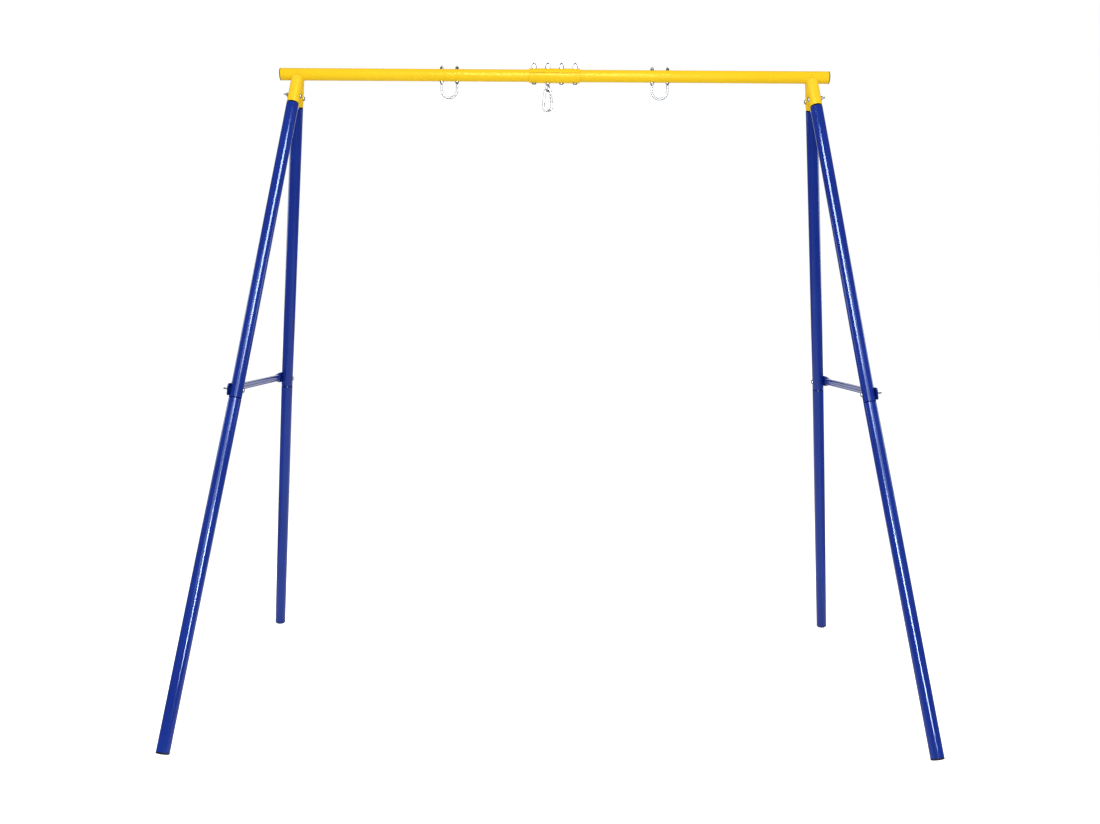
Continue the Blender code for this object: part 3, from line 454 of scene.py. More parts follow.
def eased(points, looped=False, steps=4):
    """Rounds the corners of a profile whose points carry a third number, the size of the round."""
    result = []
    for index, point in enumerate(points):
        if len(point) == 2 or not looped and index in (0, len(points) - 1):
            result.append((point[0], point[1]))
            continue
        here = Vector(point[:2])
        before = Vector(points[index - 1][:2])
        after = Vector(points[(index + 1) % len(points)][:2])
        start = here + (before - here).normalized() * min(point[2], (before - here).length / 2)
        end = here + (after - here).normalized() * min(point[2], (after - here).length / 2)
        for step in range(steps + 1):
            share = step / steps
            spot = start * (1 - share) ** 2 + here * 2 * share * (1 - share) + end * share**2
            result.append((spot.x, spot.y))
    return result


def dome(radius, base, height, steps=8):
    angles = [QUARTER * index / steps for index in range(steps + 1)]
    return [(radius * math.cos(a), base + height * math.sin(a)) for a in angles]


def arc(centre, radius, start, end, steps):
    angles = [start + (end - start) * index / steps for index in range(steps + 1)]
    return [(centre[0] + radius * math.cos(a), centre[1] + radius * math.sin(a)) for a in angles]


def in_xz(points):
    return [Vector((x, 0.0, z)) for x, z in points]


def thread_rings(radius, tip, end, sides=SMALL_SIDES):
    """Rings of a helical thread from its chamfered tip down to its end, where the groove fades."""
    rows = max(2, round((tip - end) / THREAD_PITCH * THREAD_ROWS))
    rings = []
    for row in range(rows + 1):
        height = tip + (end - tip) * row / rows
        chamfer = radius - THREAD_DEPTH + (tip - height)
        fade = min(1.0, (height - end) / THREAD_PITCH)
        ring = []
        for step in range(sides):
            angle = 2 * math.pi * step / sides
            phase = (height / THREAD_PITCH - step / sides) % 1.0
            groove = THREAD_DEPTH * min(1.0, THREAD_SLOPE * abs(2 * phase - 1))
            reach = min(radius - groove * fade, chamfer)
            ring.append((reach * math.cos(angle), reach * math.sin(angle), height))
        rings.append(ring)
    return rings


def hex_reach(angle, flats):
    sector = math.radians(60)
    return flats / 2 / math.cos((angle + sector / 2) % sector - sector / 2)


def hex_rings(flats, low, high, crown, sides=HEX_SIDES):
    """Rings up a hexagon whose corners are chamfered where they pass the crown radius."""
    rings = [[], [], [], []]
    for step in range(sides):
        angle = 2 * math.pi * step / sides
        reach = hex_reach(angle, flats)
        crowned = min(reach, crown)
        drop = (reach - crowned) * math.tan(NUT_CHAMFER)
        corners = ((crowned, low), (reach, low + drop), (reach, high - drop), (crowned, high))
        for ring, (radius, height) in zip(rings, corners):
            ring.append((radius * math.cos(angle), radius * math.sin(angle), height))
    return rings


def ring_at(radius, height, sides=HEX_SIDES):
    angles = [2 * math.pi * step / sides for step in range(sides)]
    return [(radius * math.cos(a), radius * math.sin(a), height) for a in angles]


def piece(node, shape, slot, body="frame", material=None):
    """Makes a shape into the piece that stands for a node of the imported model."""
    mesh = shape if isinstance(shape, bpy.types.Mesh) else shape.mesh(node)
    mesh.shade_smooth()
    mesh.set_sharp_from_angle(angle=SHARP_ANGLE)
    mesh.materials.clear()
    mesh.materials.append(material or LOOKS[slot])
    obj = bpy.data.objects.new(f"{node}_skin", mesh)
    bpy.context.scene.collection.objects.link(obj)
    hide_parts(node)
    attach(obj, body)
    return obj


# Places


def plane_matrix(sign):
    turn = Matrix.Rotation(0.0 if sign > 0 else math.pi, 4, "Z")
    return BEAM @ Matrix.Translation((sign * FRAME_X, 0.0, 0.0)) @ turn @ Matrix.Rotation(-FRAME_LEAN, 4, "Y")


def leg_matrix(side_sign, end_sign):
    return plane_matrix(side_sign) @ Matrix.Rotation(LEG_SPREAD * end_sign * side_sign, 4, "X")


def knee_matrix(side_sign, end_sign):
    place = Matrix.Translation((0.0, 0.0, -(KNEE_REACH + KNEE_OFFSET)))
    bend = Matrix.Rotation(KNEE_BEND * end_sign * side_sign, 4, "X")
    return leg_matrix(side_sign, end_sign) @ place @ bend


def crosswise(reach):
    return Matrix.Translation((0.0, 0.0, -reach)) @ ONTO_X


def along_beam(sign):
    return BEAM @ Matrix.Rotation(sign * QUARTER, 4, "Y")


def lower_leg_length():
    axis = knee_matrix(1, -1)
    upright = axis.col[2].z
    lean = math.sqrt(1 - upright**2)
    rim_drop = (SEAT_GAP + PLUG_FLANGE) * upright + (TUBE_RADIUS + RIM_OVERHANG) * lean
    return (axis.translation.z - rim_drop + FOOT_FLAT) / upright


LOWER_LENGTH = lower_leg_length()


# Beam


def bead(shape, path, size, looped=False):
    """A weld bead: overlapping scales along a path, each a little uneven."""
    fine = []
    for first, second in zip(path, path[1:] + (path[:1] if looped else [])):
        count = max(1, round((second - first).length / BEAD_STEP))
        fine += [first.lerp(second, step / count) for step in range(count)]
    radii = []
    for index in range(len(fine)):
        place = (index * BEAD_STEP / BEAD_SCALE) % 1.0
        swell = BEAD_SWELL[0] + BEAD_SWELL[1] * math.sin(math.pi * place)
        radii.append(size * (swell + BEAD_DRIFT[0] * math.sin(index * BEAD_DRIFT[1])))
    shape.sweep(fine, radii, sides=12, looped=looped)


def saddle_path(axis, steps=72):
    """Where a socket of the beam's own radius meets the beam, on the beam's outside."""
    down = -axis.col[2].xyz
    across = axis.col[0].xyz
    forward = axis.col[1].xyz
    centre = axis.translation - BEAM.translation
    path = []
    for step in range(steps):
        angle = 2 * math.pi * step / steps
        start = centre + TUBE_RADIUS * (math.cos(angle) * across + math.sin(angle) * forward)
        a = down.y**2 + down.z**2
        b = 2 * (start.y * down.y + start.z * down.z)
        c = start.y**2 + start.z**2 - TUBE_RADIUS**2
        reach = (-b + math.sqrt(max(0.0, b * b - 4 * a * c))) / (2 * a)
        path.append(BEAM.translation + start + reach * down)
    return path


def crotch_path(side_sign, steps=40):
    """Where the two sockets of one side meet below the beam, in the plane y = 0."""
    axis = leg_matrix(side_sign, -1)
    down = -axis.col[2].xyz
    across = axis.col[0].xyz
    forward = axis.col[1].xyz
    path = []
    for step in range(1, steps):
        angle = math.pi * step / steps
        offset = TUBE_RADIUS * (math.cos(angle) * across + math.sin(angle) * forward)
        if down.y * offset.y > 0:
            offset = TUBE_RADIUS * (math.cos(angle) * across - math.sin(angle) * forward)
        reach = -offset.y / down.y
        if reach > 0.0:
            path.append(axis.translation + offset + reach * down)
    return path


def make_beam(side, sign):
    shape = Shape()
    wall = [
        (TUBE_RADIUS, BEAM_HALF_LENGTH, BEAM_END_ROUND), (TUBE_RADIUS, SEAT_GAP / 2, BEAM_END_ROUND),
        (TUBE_BORE, SEAT_GAP / 2, BEAM_BORE_ROUND), (TUBE_BORE, BEAM_HALF_LENGTH, BEAM_BORE_ROUND),
    ]
    shape.lathe(eased(wall, True), along_beam(sign), looped=True)
    for _, end_sign in ENDS:
        axis = leg_matrix(sign, end_sign)
        stub = [
            (TUBE_RADIUS, -SOCKET_ROOT), (TUBE_RADIUS, -SOCKET_REACH, SOCKET_MOUTH_ROUND),
            (TUBE_BORE, -SOCKET_REACH, SOCKET_BORE_ROUND), (TUBE_BORE, -SOCKET_BORE_TOP),
            (0.0, -SOCKET_BORE_TOP), (0.0, -SOCKET_ROOT),
        ]
        shape.lathe(eased(stub), axis)
        bead(shape, saddle_path(axis), SADDLE_BEAD, looped=True)
    bead(shape, crotch_path(sign), CROTCH_BEAD)
    piece(f"beam_{side}", shape, "yellow_paint")


def push_in_profile(face, flange, dome_height, stem, dome_sink, dome_inset, lip, shoulder, steps):
    """Profile of a push-in cap: domed face, rounded flange rim, and a plain stem inside the tube."""
    rim = TUBE_RADIUS + RIM_OVERHANG
    top = face + flange
    profile = dome(rim - dome_inset, top - dome_sink, dome_height + dome_sink, steps)[::-1]
    profile += [(rim - lip[0], top - lip[1]), (rim, top - shoulder), (rim, face)]
    profile += [(NECK_RADIUS, face), (NECK_RADIUS, face - stem), (0.0, face - stem)]
    return profile


def make_beam_cap(side, sign):
    cap = Shape()
    profile = push_in_profile(
        BEAM_HALF_LENGTH + SEAT_GAP, CAP_FLANGE, CAP_DOME, CAP_STEM,
        dome_sink=0.0002, dome_inset=0.0006, lip=(0.0002, 0.0005), shoulder=0.0010, steps=10,
    )
    cap.lathe(profile, along_beam(sign))
    piece(f"beam_cap_{side}", cap, "black_plastic")


# Legs


def swaged_profile(neck_top, cone_top, cone, bottom):
    """Wall of a tube with a drawn-in neck: shoulder rounded as a press leaves it."""
    cone_base = cone_top - cone
    return [
        (NECK_RADIUS, neck_top, NECK_ROUND), (NECK_RADIUS, cone_top, THROAT_ROUND),
        (TUBE_RADIUS, cone_base, SHOULDER_ROUND), (TUBE_RADIUS, bottom, MOUTH_ROUND),
        (TUBE_BORE, bottom, NECK_ROUND), (TUBE_BORE, cone_base - TUBE_WALL),
        (NECK_RADIUS - TUBE_WALL, cone_top - TUBE_WALL), (NECK_RADIUS - TUBE_WALL, neck_top, NECK_ROUND),
    ]


def mark_groove_shade(mesh, axis, cone_base):
    """Marks the groove under a joint, where the wall draws in, for painted shade: there the paint turns
    near-black as if in shadow.
    """
    attribute = mesh.attributes.new("groove_shade", "FLOAT", "POINT")
    to_axis = axis.inverted()
    for vert, mark in zip(mesh.vertices, attribute.data):
        spot = to_axis @ vert.co
        drawn_in = math.hypot(spot.x, spot.y) < TUBE_RADIUS - GROOVE_DEPTH
        mark.value = 1.0 if drawn_in and spot.z > cone_base else 0.0


def make_upper_leg(name, axis):
    leg = Shape()
    top = -SOCKET_REACH - SEAT_GAP
    profile = swaged_profile(SOCKET_NECK - SOCKET_REACH, top, SOCKET_CONE, -KNEE_REACH)
    leg.lathe(eased(profile, True, 6), axis, looped=True)
    leg_piece = piece(f"upper_leg_{name}", leg, "blue_paint")
    mark_groove_shade(leg_piece.data, axis, top - SOCKET_CONE)


def make_lower_leg(name, knee, bend):
    """The neck stays in line with the upper leg, and the tube below it is bent off that line."""
    leg = Shape()
    top = KNEE_OFFSET - SEAT_GAP
    profile = swaged_profile(KNEE_OFFSET + KNEE_NECK, top, KNEE_CONE, -LOWER_LENGTH)
    straighten = Matrix.Rotation(-bend, 4, "X")
    rings = []
    for radius, height in eased(profile, True, 6):
        ring = circle(radius, height, ROUND_SIDES)
        rings.append([straighten @ Vector(point) for point in ring] if height > 0 else ring)
    leg.loft(rings, knee, looped=True)
    leg_piece = piece(f"lower_leg_{name}", leg, "blue_paint")
    mark_groove_shade(leg_piece.data, knee, top - KNEE_CONE)


def make_foot_plug(name, knee):
    plug = Shape()
    profile = push_in_profile(
        LOWER_LENGTH + SEAT_GAP, PLUG_FLANGE, PLUG_DOME, PLUG_STEM,
        dome_sink=0.0004, dome_inset=0.0008, lip=(0.0003, 0.0010), shoulder=0.0018, steps=16,
    )
    plug.lathe(profile, knee @ Matrix.Rotation(math.pi, 4, "X"), sides=96)
    for vert in plug.verts:
        vert.z = max(vert.z, 0.0)
    piece(f"foot_plug_{name}", plug, "black_plastic")


def make_leg(end, end_sign, side, side_sign):
    name = f"{end}_{side}"
    knee = knee_matrix(side_sign, end_sign)
    make_upper_leg(name, leg_matrix(side_sign, end_sign))
    make_lower_leg(name, knee, KNEE_BEND * end_sign * side_sign)
    make_foot_plug(name, knee)


# Braces


def brace_ring(along, inset, sides=56):
    """Section of the brace at a place along it: round in the middle, pressed flat at the ends."""
    share = min(max((abs(along) - BRACE_TAPER_START) / BRACE_TAPER, 0.0), 1.0)
    share = share * share * (3 - 2 * share)
    height = BRACE_RADIUS + share * (BRACE_END_HALF_HEIGHT - BRACE_RADIUS) - inset
    thickness = BRACE_RADIUS + share * (BRACE_END_HALF_THICKNESS - BRACE_RADIUS) - inset
    corner = (abs(along) - (BRACE_HALF_LENGTH - BRACE_CORNER)) / BRACE_CORNER
    if corner > 0:
        height -= BRACE_CORNER_DEPTH * (1 - math.sqrt(max(0.0, 1 - corner**2)))
    squareness = 1 + 3 * share
    ring = []
    for index in range(sides):
        angle = 2 * math.pi * (index + 0.5) / sides
        across = max(-1.0, min(1.0, squareness * math.sin(angle)))
        ring.append((thickness * across, along, height * math.cos(angle)))
    return ring


def make_brace(side, sign):
    taper = [BRACE_TAPER_START + BRACE_TAPER * step / 20 for step in range(21)]
    corner = [BRACE_HALF_LENGTH - BRACE_CORNER * (1 - math.sin(QUARTER * step / 8)) for step in range(9)]
    half = [*taper, BRACE_HALF_SPAN, *corner]
    stations = [-place for place in reversed(half)] + [0.0] + half
    outer = [brace_ring(place, 0.0) for place in stations]
    inner = [brace_ring(place, BRACE_WALL) for place in reversed(stations)]
    shape = Shape()
    place = Matrix.Translation((BRACE_OFFSET, 0.0, -BRACE_DROP))
    shape.loft(outer + inner, plane_matrix(sign) @ place, looped=True)
    piece(f"brace_{side}", shape, "blue_paint")


# Fasteners


def round_head(shape, size, under_head, matrix):
    """A low round head below a height, with the first stretch of its shank."""
    radius, height = size
    edge = height * HEAD_EDGE_SHARE
    inset, drop = HEAD_EDGE_ROUND
    shank_top = under_head + HEAD_SHANK
    profile = [(0.0, shank_top), (M6_RADIUS, shank_top), (M6_RADIUS, under_head)]
    profile += [(radius - inset, under_head), (radius, under_head - drop)]
    profile += dome(radius, under_head - edge, edge - height, 14)
    shape.lathe(profile, matrix, SMALL_SIDES)


def shank(shape, radius, low, high, matrix):
    shape.lathe([(0.0, high), (radius, high), (radius, low), (0.0, low)], matrix, SMALL_SIDES)


def hex_nut(shape, flats, height, bore, matrix, chamfer=0.0004):
    rings = [ring_at(bore + chamfer, 0.0)]
    rings += hex_rings(flats, 0.0, height, flats / 2 * NUT_CROWN)
    rings += [ring_at(bore + chamfer, height), ring_at(bore, height - chamfer), ring_at(bore, chamfer)]
    shape.loft(rings, matrix, looped=True)


def make_leg_fasteners(end, end_sign, side, side_sign):
    axis = leg_matrix(side_sign, end_sign)
    brace_face = BRACE_OFFSET + BRACE_END_HALF_THICKNESS
    for role, reach, seat, tip in (
        ("socket", SOCKET_BOLT_REACH, TUBE_RADIUS, SOCKET_BOLT_END),
        ("brace", BRACE_BOLT_REACH, brace_face, BRACE_BOLT_END),
    ):
        place = axis @ crosswise(reach)
        bolt = Shape()
        round_head(bolt, LEG_HEAD, -TUBE_RADIUS - SEAT_GAP, place)
        shank(bolt, M6_RADIUS, -TUBE_RADIUS, LEG_THREAD_START, place)
        bolt.loft(thread_rings(M6_RADIUS, tip, LEG_THREAD_END), place)
        piece(f"{role}_bolt_{end}_{side}", bolt, "zinc_steel")
        nut = Shape()
        at_seat = place @ Matrix.Translation((0.0, 0.0, seat + SEAT_GAP))
        hex_nut(nut, LEG_NUT_FLATS, NUT_HEIGHT, M6_RADIUS + THREAD_FIT, at_seat)
        piece(f"{role}_nut_{end}_{side}", nut, "zinc_steel")


# Centre sleeve


def sleeve_section(x, start, end, inset):
    """Outline of a half shell's section: outer arc, lip, inner arc and the other lip."""
    outer = SLEEVE_OUTER - inset
    inner = SLEEVE_INNER + inset
    turn = (inset + SLEEVE_LIP) / SLEEVE_OUTER
    tip = inset / SLEEVE_OUTER
    lip = (outer - SLEEVE_LIP, (SLEEVE_OUTER + SLEEVE_INNER) / 2, inner + SLEEVE_LIP)
    points = arc((0.0, 0.0), outer, start + turn, end - turn, SLEEVE_STEPS)
    points += [(r * math.cos(end - tip), r * math.sin(end - tip)) for r in lip]
    points += arc((0.0, 0.0), inner, end - turn, start + turn, SLEEVE_STEPS)
    points += [(r * math.cos(start + tip), r * math.sin(start + tip)) for r in reversed(lip)]
    return [(x, y, z) for y, z in points]


def make_sleeve_shell(name, start, end):
    stations = []
    for step in range(6):
        angle = QUARTER * step / 5
        x = SLEEVE_HALF_LENGTH - SLEEVE_ROUND * (1 - math.sin(angle))
        stations.append((x, SLEEVE_ROUND * (1 - math.cos(angle))))
    rows = [(-x, inset) for x, inset in reversed(stations)] + stations
    sections = [sleeve_section(x, start, end, inset) for x, inset in rows]
    shape = Shape()
    shape.loft(sections, BEAM, capped=False)
    count = len(sections[0])
    inner_first = SLEEVE_STEPS + 4
    inner_last = inner_first + SLEEVE_STEPS
    ends = [(index, index + 1, inner_last - index - 1, inner_last - index) for index in range(SLEEVE_STEPS)]
    ends.append(tuple(range(SLEEVE_STEPS, inner_first + 1)))
    ends.append((*range(inner_last, count), 0))
    for row in (0, len(sections) - 1):
        shape.faces += [tuple(row * count + corner for corner in face) for face in ends]
    piece(name, shape, "yellow_paint")


def make_sleeve():
    half_gap = SLEEVE_SEAM_GAP / 2 / SLEEVE_OUTER
    upper = SLEEVE_SEAM + half_gap
    lower = SLEEVE_SEAM - half_gap
    make_sleeve_shell("sleeve_upper", upper, math.pi - upper)
    make_sleeve_shell("sleeve_lower", math.pi - lower, 2 * math.pi + lower)


def make_cap_nut(node, matrix):
    shape = Shape()
    rings = [ring_at(AXIS_RADIUS, 0.0)] + hex_rings(CAP_NUT_FLATS, 0.0, CAP_NUT_HEX, CAP_NUT_CROWN)
    rings += [ring_at(CAP_NUT_DOME_RADIUS + CAP_NUT_ROUND, CAP_NUT_HEX + CAP_NUT_ROUND)]
    rings += [ring_at(CAP_NUT_DOME_RADIUS - CAP_NUT_ROUND, CAP_NUT_DOME_BASE - CAP_NUT_DOME_LEAD)]
    profile = dome(CAP_NUT_DOME_RADIUS, CAP_NUT_DOME_BASE, CAP_NUT_DOME_HEIGHT, 16)
    rings += [ring_at(max(radius, AXIS_RADIUS), height) for radius, height in profile]
    shape.loft(rings, matrix)
    piece(node, shape, "polished_steel")


def make_sleeve_bolts():
    """Four bolts down through the sleeve, of which the second is the eye bolt."""
    seat = SLEEVE_OUTER + SEAT_GAP
    top = seat + CAP_NUT_HEX
    number = 0
    for index, turn in enumerate(CAP_NUT_TURNS):
        place = BEAM @ Matrix.Translation((SLEEVE_PITCH * (index - 1.5), 0.0, 0.0))
        turned = place @ Matrix.Rotation(math.radians(turn), 4, "Z")
        at_nut = turned @ Matrix.Translation((0.0, 0.0, seat))
        if index == 1:
            make_cap_nut("eye_bolt_nut", at_nut)
            make_eye_bolt(place, -seat, top)
            continue
        number += 1
        make_cap_nut(f"sleeve_nut_{number}", at_nut)
        bolt = Shape()
        round_head(bolt, SLEEVE_HEAD, -seat, place)
        shank(bolt, M8_RADIUS, -seat, top, place)
        piece(f"sleeve_bolt_{number}", bolt, "zinc_steel", material=SHADED_ZINC)


# Eye bolt and snap hook


def make_eye_bolt(place, seat, top):
    collar_base = seat - EYE_COLLAR_HEIGHT
    root = collar_base - EYE_ROOT_DEPTH
    ring_centre = collar_base + EYE_SINK - EYE_WIRE - EYE_RING
    turned = place @ Matrix.Rotation(EYE_TURN, 4, "Z")
    shape = Shape()
    profile = [
        (0.0, top), (M8_RADIUS, top), (M8_RADIUS, seat),
        (EYE_COLLAR_RADIUS, seat, EYE_ROUNDS[0]), (EYE_COLLAR_RADIUS, collar_base, EYE_ROUNDS[1]),
        (EYE_ROOT_RADIUS, collar_base - EYE_ROOT_TAPER, EYE_ROUNDS[2]), (EYE_WIRE, root), (0.0, root),
    ]
    shape.lathe(eased(profile), turned, SMALL_SIDES)
    angles = [2 * math.pi * step / 64 for step in range(64)]
    path = [Vector((0.0, EYE_RING * math.cos(a), ring_centre + EYE_RING * math.sin(a))) for a in angles]
    shape.sweep(path, EYE_WIRE, turned, 24, looped=True)
    piece("eye_bolt", shape, "zinc_steel")
    height = ring_centre - EYE_RING + EYE_WIRE + SEAT_GAP + HOOK_WIRE
    make_snap_hook(place @ Matrix.Translation((0.0, 0.0, height)) @ Matrix.Rotation(HOOK_TURN, 4, "Z"))


FLARE = math.asin((HOOK_BOTTOM_RADIUS - HOOK_TOP_RADIUS) / HOOK_CENTRES)
TOP_CENTRE = Vector((0.0, -HOOK_TOP_RADIUS))
BOTTOM_CENTRE = Vector((0.0, -HOOK_TOP_RADIUS - HOOK_CENTRES))
OUTWARD = Vector((math.cos(FLARE), math.sin(FLARE)))
DOWNWARD = Vector((math.sin(FLARE), -math.cos(FLARE)))
HINGE = TOP_CENTRE + OUTWARD * HOOK_TOP_RADIUS + DOWNWARD * HOOK_HINGE_DROP
NOSE = BOTTOM_CENTRE + OUTWARD * HOOK_BOTTOM_RADIUS - DOWNWARD * HOOK_NOSE_RISE
GATE_LENGTH = (NOSE - HINGE).length - HOOK_PLAY


def helper(name, shape):
    obj = bpy.data.objects.new(name, shape.mesh(name))
    bpy.context.scene.collection.objects.link(obj)
    return obj


def disc(name, radius, low, high, matrix=None, sides=40):
    shape = Shape()
    turn = (matrix or Matrix.Identity(4)) @ ONTO_Y
    shape.lathe([(radius, low), (radius, high)], turn, sides)
    return helper(name, shape)


def block(name, low, high, matrix=None):
    shape = Shape()
    corners = ((low[0], low[1]), (high[0], low[1]), (high[0], high[1]), (low[0], high[1]))
    rings = [[(x, y, z) for x, y in corners] for z in (low[2], high[2])]
    shape.loft(rings, matrix)
    return helper(name, shape)


def combined(base, additions, cuts, matrix):
    """Adds and cuts helper shapes, rounds the edges, and returns the mesh set in its place."""
    for operation, others in (("UNION", additions), ("DIFFERENCE", cuts)):
        for other in others:
            modifier = base.modifiers.new(operation, "BOOLEAN")
            modifier.operation = operation
            modifier.solver = "EXACT"
            modifier.object = other
    bevel = base.modifiers.new("Edges", "BEVEL")
    bevel.width = HOOK_EDGE_ROUND
    bevel.segments = 2
    bevel.limit_method = "ANGLE"
    bevel.angle_limit = HOOK_EDGE_ANGLE
    bpy.context.view_layer.update()
    mesh = bpy.data.meshes.new_from_object(base.evaluated_get(bpy.context.evaluated_depsgraph_get()))
    for obj in (base, *additions, *cuts):
        bpy.data.objects.remove(obj, do_unlink=True)
    mesh.transform(matrix)
    return mesh


def make_hook_body(place, to_hinge):
    path = [HINGE]
    path += arc(TOP_CENTRE, HOOK_TOP_RADIUS, FLARE, math.pi - FLARE, 30)
    path += arc(BOTTOM_CENTRE, HOOK_BOTTOM_RADIUS, math.pi - FLARE, 2 * math.pi + FLARE, 44)
    path.append(NOSE)
    bar = Shape()
    bar.sweep(in_xz(path), HOOK_WIRE, sides=WIRE_SIDES)
    room = KNUCKLE_RADIUS + HOOK_PLAY
    half_tab = HOOK_TAB / 2
    half_slot = half_tab + HOOK_SLOT_PLAY
    slot_end = -GATE_LENGTH - HOOK_PLAY - TONGUE_LENGTH - HOOK_PLAY
    slot_low = (-HELPER_REACH, -half_slot, slot_end)
    slot_high = (HOOK_SLOT_DEPTH, half_slot, -GATE_LENGTH)
    tab = disc("tab", KNUCKLE_RADIUS, -KNUCKLE_HALF_WIDTH, KNUCKLE_HALF_WIDTH, to_hinge)
    cuts = [
        disc("near", room, -HELPER_REACH, -half_tab, to_hinge),
        disc("far", room, half_tab, HELPER_REACH, to_hinge),
        disc("bore", PIN_BORE, -HELPER_REACH, HELPER_REACH, to_hinge, 20),
        block("slot", slot_low, slot_high, to_hinge),
    ]
    body = combined(helper("bar", bar), [tab], cuts, place)
    piece("carabiner_body", body, "polished_steel", "snap_hook")


def make_hook_gate(at_hinge):
    """The gate in its own place: pivot at the origin, bar downwards, tongue into the nose's slot."""
    bar = Shape()
    bar.sweep([Vector((0.0, 0.0, 0.0)), Vector((0.0, 0.0, -GATE_LENGTH))], HOOK_WIRE, sides=WIRE_SIDES)
    half_tab = HOOK_TAB / 2
    half_slot = half_tab + HOOK_SLOT_PLAY
    tongue_low = (TONGUE_FROM, -half_tab, -GATE_LENGTH - TONGUE_LENGTH)
    tongue_high = (TONGUE_TO, half_tab, -GATE_LENGTH + HOOK_WIRE)
    additions = [
        disc("gate_knuckle", KNUCKLE_RADIUS, -KNUCKLE_HALF_WIDTH, KNUCKLE_HALF_WIDTH),
        block("tongue", tongue_low, tongue_high),
    ]
    cuts = [
        disc("fork", KNUCKLE_RADIUS + HOOK_PLAY, -half_slot, half_slot),
        disc("gate_bore", PIN_BORE, -HELPER_REACH, HELPER_REACH, None, 20),
    ]
    gate = combined(helper("gate_bar", bar), additions, cuts, at_hinge)
    piece("carabiner_gate", gate, "polished_steel", "hook_gate")


def make_hook_pin(at_hinge):
    end = KNUCKLE_HALF_WIDTH
    rivet = dome(RIVET_RADIUS, end, RIVET_DOME, 6)[::-1] + [(PIN_RADIUS, end), (PIN_RADIUS, -end)]
    rivet += dome(RIVET_RADIUS, -end, -RIVET_DOME, 6)
    pin = Shape()
    pin.lathe(rivet, at_hinge @ ONTO_Y, WIRE_SIDES)
    piece("carabiner_gate_pin", pin, "zinc_steel", "snap_hook")


def make_snap_hook(place):
    to_hinge = Matrix.Translation((HINGE.x, 0.0, HINGE.y)) @ Matrix.Rotation(-FLARE, 4, "Y")
    make_hook_body(place, to_hinge)
    make_hook_gate(place @ to_hinge)
    make_hook_pin(place @ to_hinge)


# Swing hangers


def flange_nut(shape, bore, matrix):
    """A nut whose flange lies at its top, under the beam."""
    height = FLANGE_NUT_HEIGHT
    rings = [ring_at(bore + FLANGE_BORE_CHAMFER, 0.0)]
    rings += hex_rings(FLANGE_NUT_FLATS, 0.0, height - FLANGE_THICKNESS, FLANGE_NUT_CROWN)[:3]
    rings += [ring_at(FLANGE_RADIUS - inset, height - drop) for inset, drop in FLANGE_EDGE]
    rings += [ring_at(bore, height), ring_at(bore, FLANGE_BORE_CHAMFER)]
    shape.loft(rings, matrix, looped=True)


def make_ubolt(side, sign):
    shape = Shape()
    middle = BEAM @ Matrix.Translation((sign * UBOLT_X, 0.0, 0.0))
    bend = UBOLT_SPACING / 2
    bore = UBOLT_WIRE + THREAD_FIT
    seat = TUBE_RADIUS + SEAT_GAP
    thread_end = -TUBE_RADIUS - FLANGE_NUT_HEIGHT - UBOLT_THREAD_BELOW
    plain_top = thread_end + UBOLT_THREAD_LAP
    centre = (0.0, bend + UBOLT_WIRE - UBOLT_BOTTOM)
    path = [(-bend, plain_top), *arc(centre, bend, math.pi, 2 * math.pi, 48), (bend, plain_top)]
    shape.sweep(in_xz(path), UBOLT_WIRE, middle, WIRE_SIDES)
    for number, end in enumerate((-1, 1), start=1):
        at_leg = middle @ Matrix.Translation((end * bend, 0.0, 0.0))
        shape.loft(thread_rings(UBOLT_WIRE, UBOLT_TOP, thread_end), at_leg)
        turn = UBOLT_NUT_TURNS[0] * number + UBOLT_NUT_TURNS[1] * sign
        spin = Matrix.Rotation(math.radians(turn), 4, "Z")
        top_nut = Shape()
        above = at_leg @ Matrix.Translation((0.0, 0.0, seat)) @ spin
        hex_nut(top_nut, UBOLT_NUT_FLATS, NUT_HEIGHT, bore, above)
        piece(f"u_bolt_top_nut_{side}_{number}", top_nut, "zinc_steel", material=SHADED_ZINC)
        low_nut = Shape()
        below = at_leg @ Matrix.Translation((0.0, 0.0, -seat - FLANGE_NUT_HEIGHT)) @ spin
        flange_nut(low_nut, bore, below)
        piece(f"u_bolt_lower_nut_{side}_{number}", low_nut, "zinc_steel")
    piece(f"u_bolt_{side}", shape, "zinc_steel", material=DIMMED_WIRE_ZINC)


# Studio


WHITE = (1.0, 1.0, 1.0, 1.0)
FLOOR_REACH = 60.0
PAPER_SCALE = 3.0
PAPER_SHADES = (0.88, 0.92)
FLOOR_LEVEL = 1.05
FLOOR_SHARE = 0.86
SWEEP_ASIDE = (1.1, 1.7)
SWEEP_AHEAD = (-1.6, -0.5)
SWEEP_LEVELS = (1.05, 0.15)
BACKDROP_TOP = (0.22, 0.32)
BACKDROP_SIDES = (0.88, 0.95)
ROOM_LEVEL = 0.14
AMBIENT_LEVELS = (1.0, 0.50)


def seen_directly(tree):
    """1 for rays that show the background as such: camera, glossy and transmission rays."""
    path = tree.nodes.new("ShaderNodeLightPath")
    either = calculate(tree, "MAXIMUM", path.outputs["Is Camera Ray"], path.outputs["Is Glossy Ray"])
    return calculate(tree, "MAXIMUM", either, path.outputs["Is Transmission Ray"])


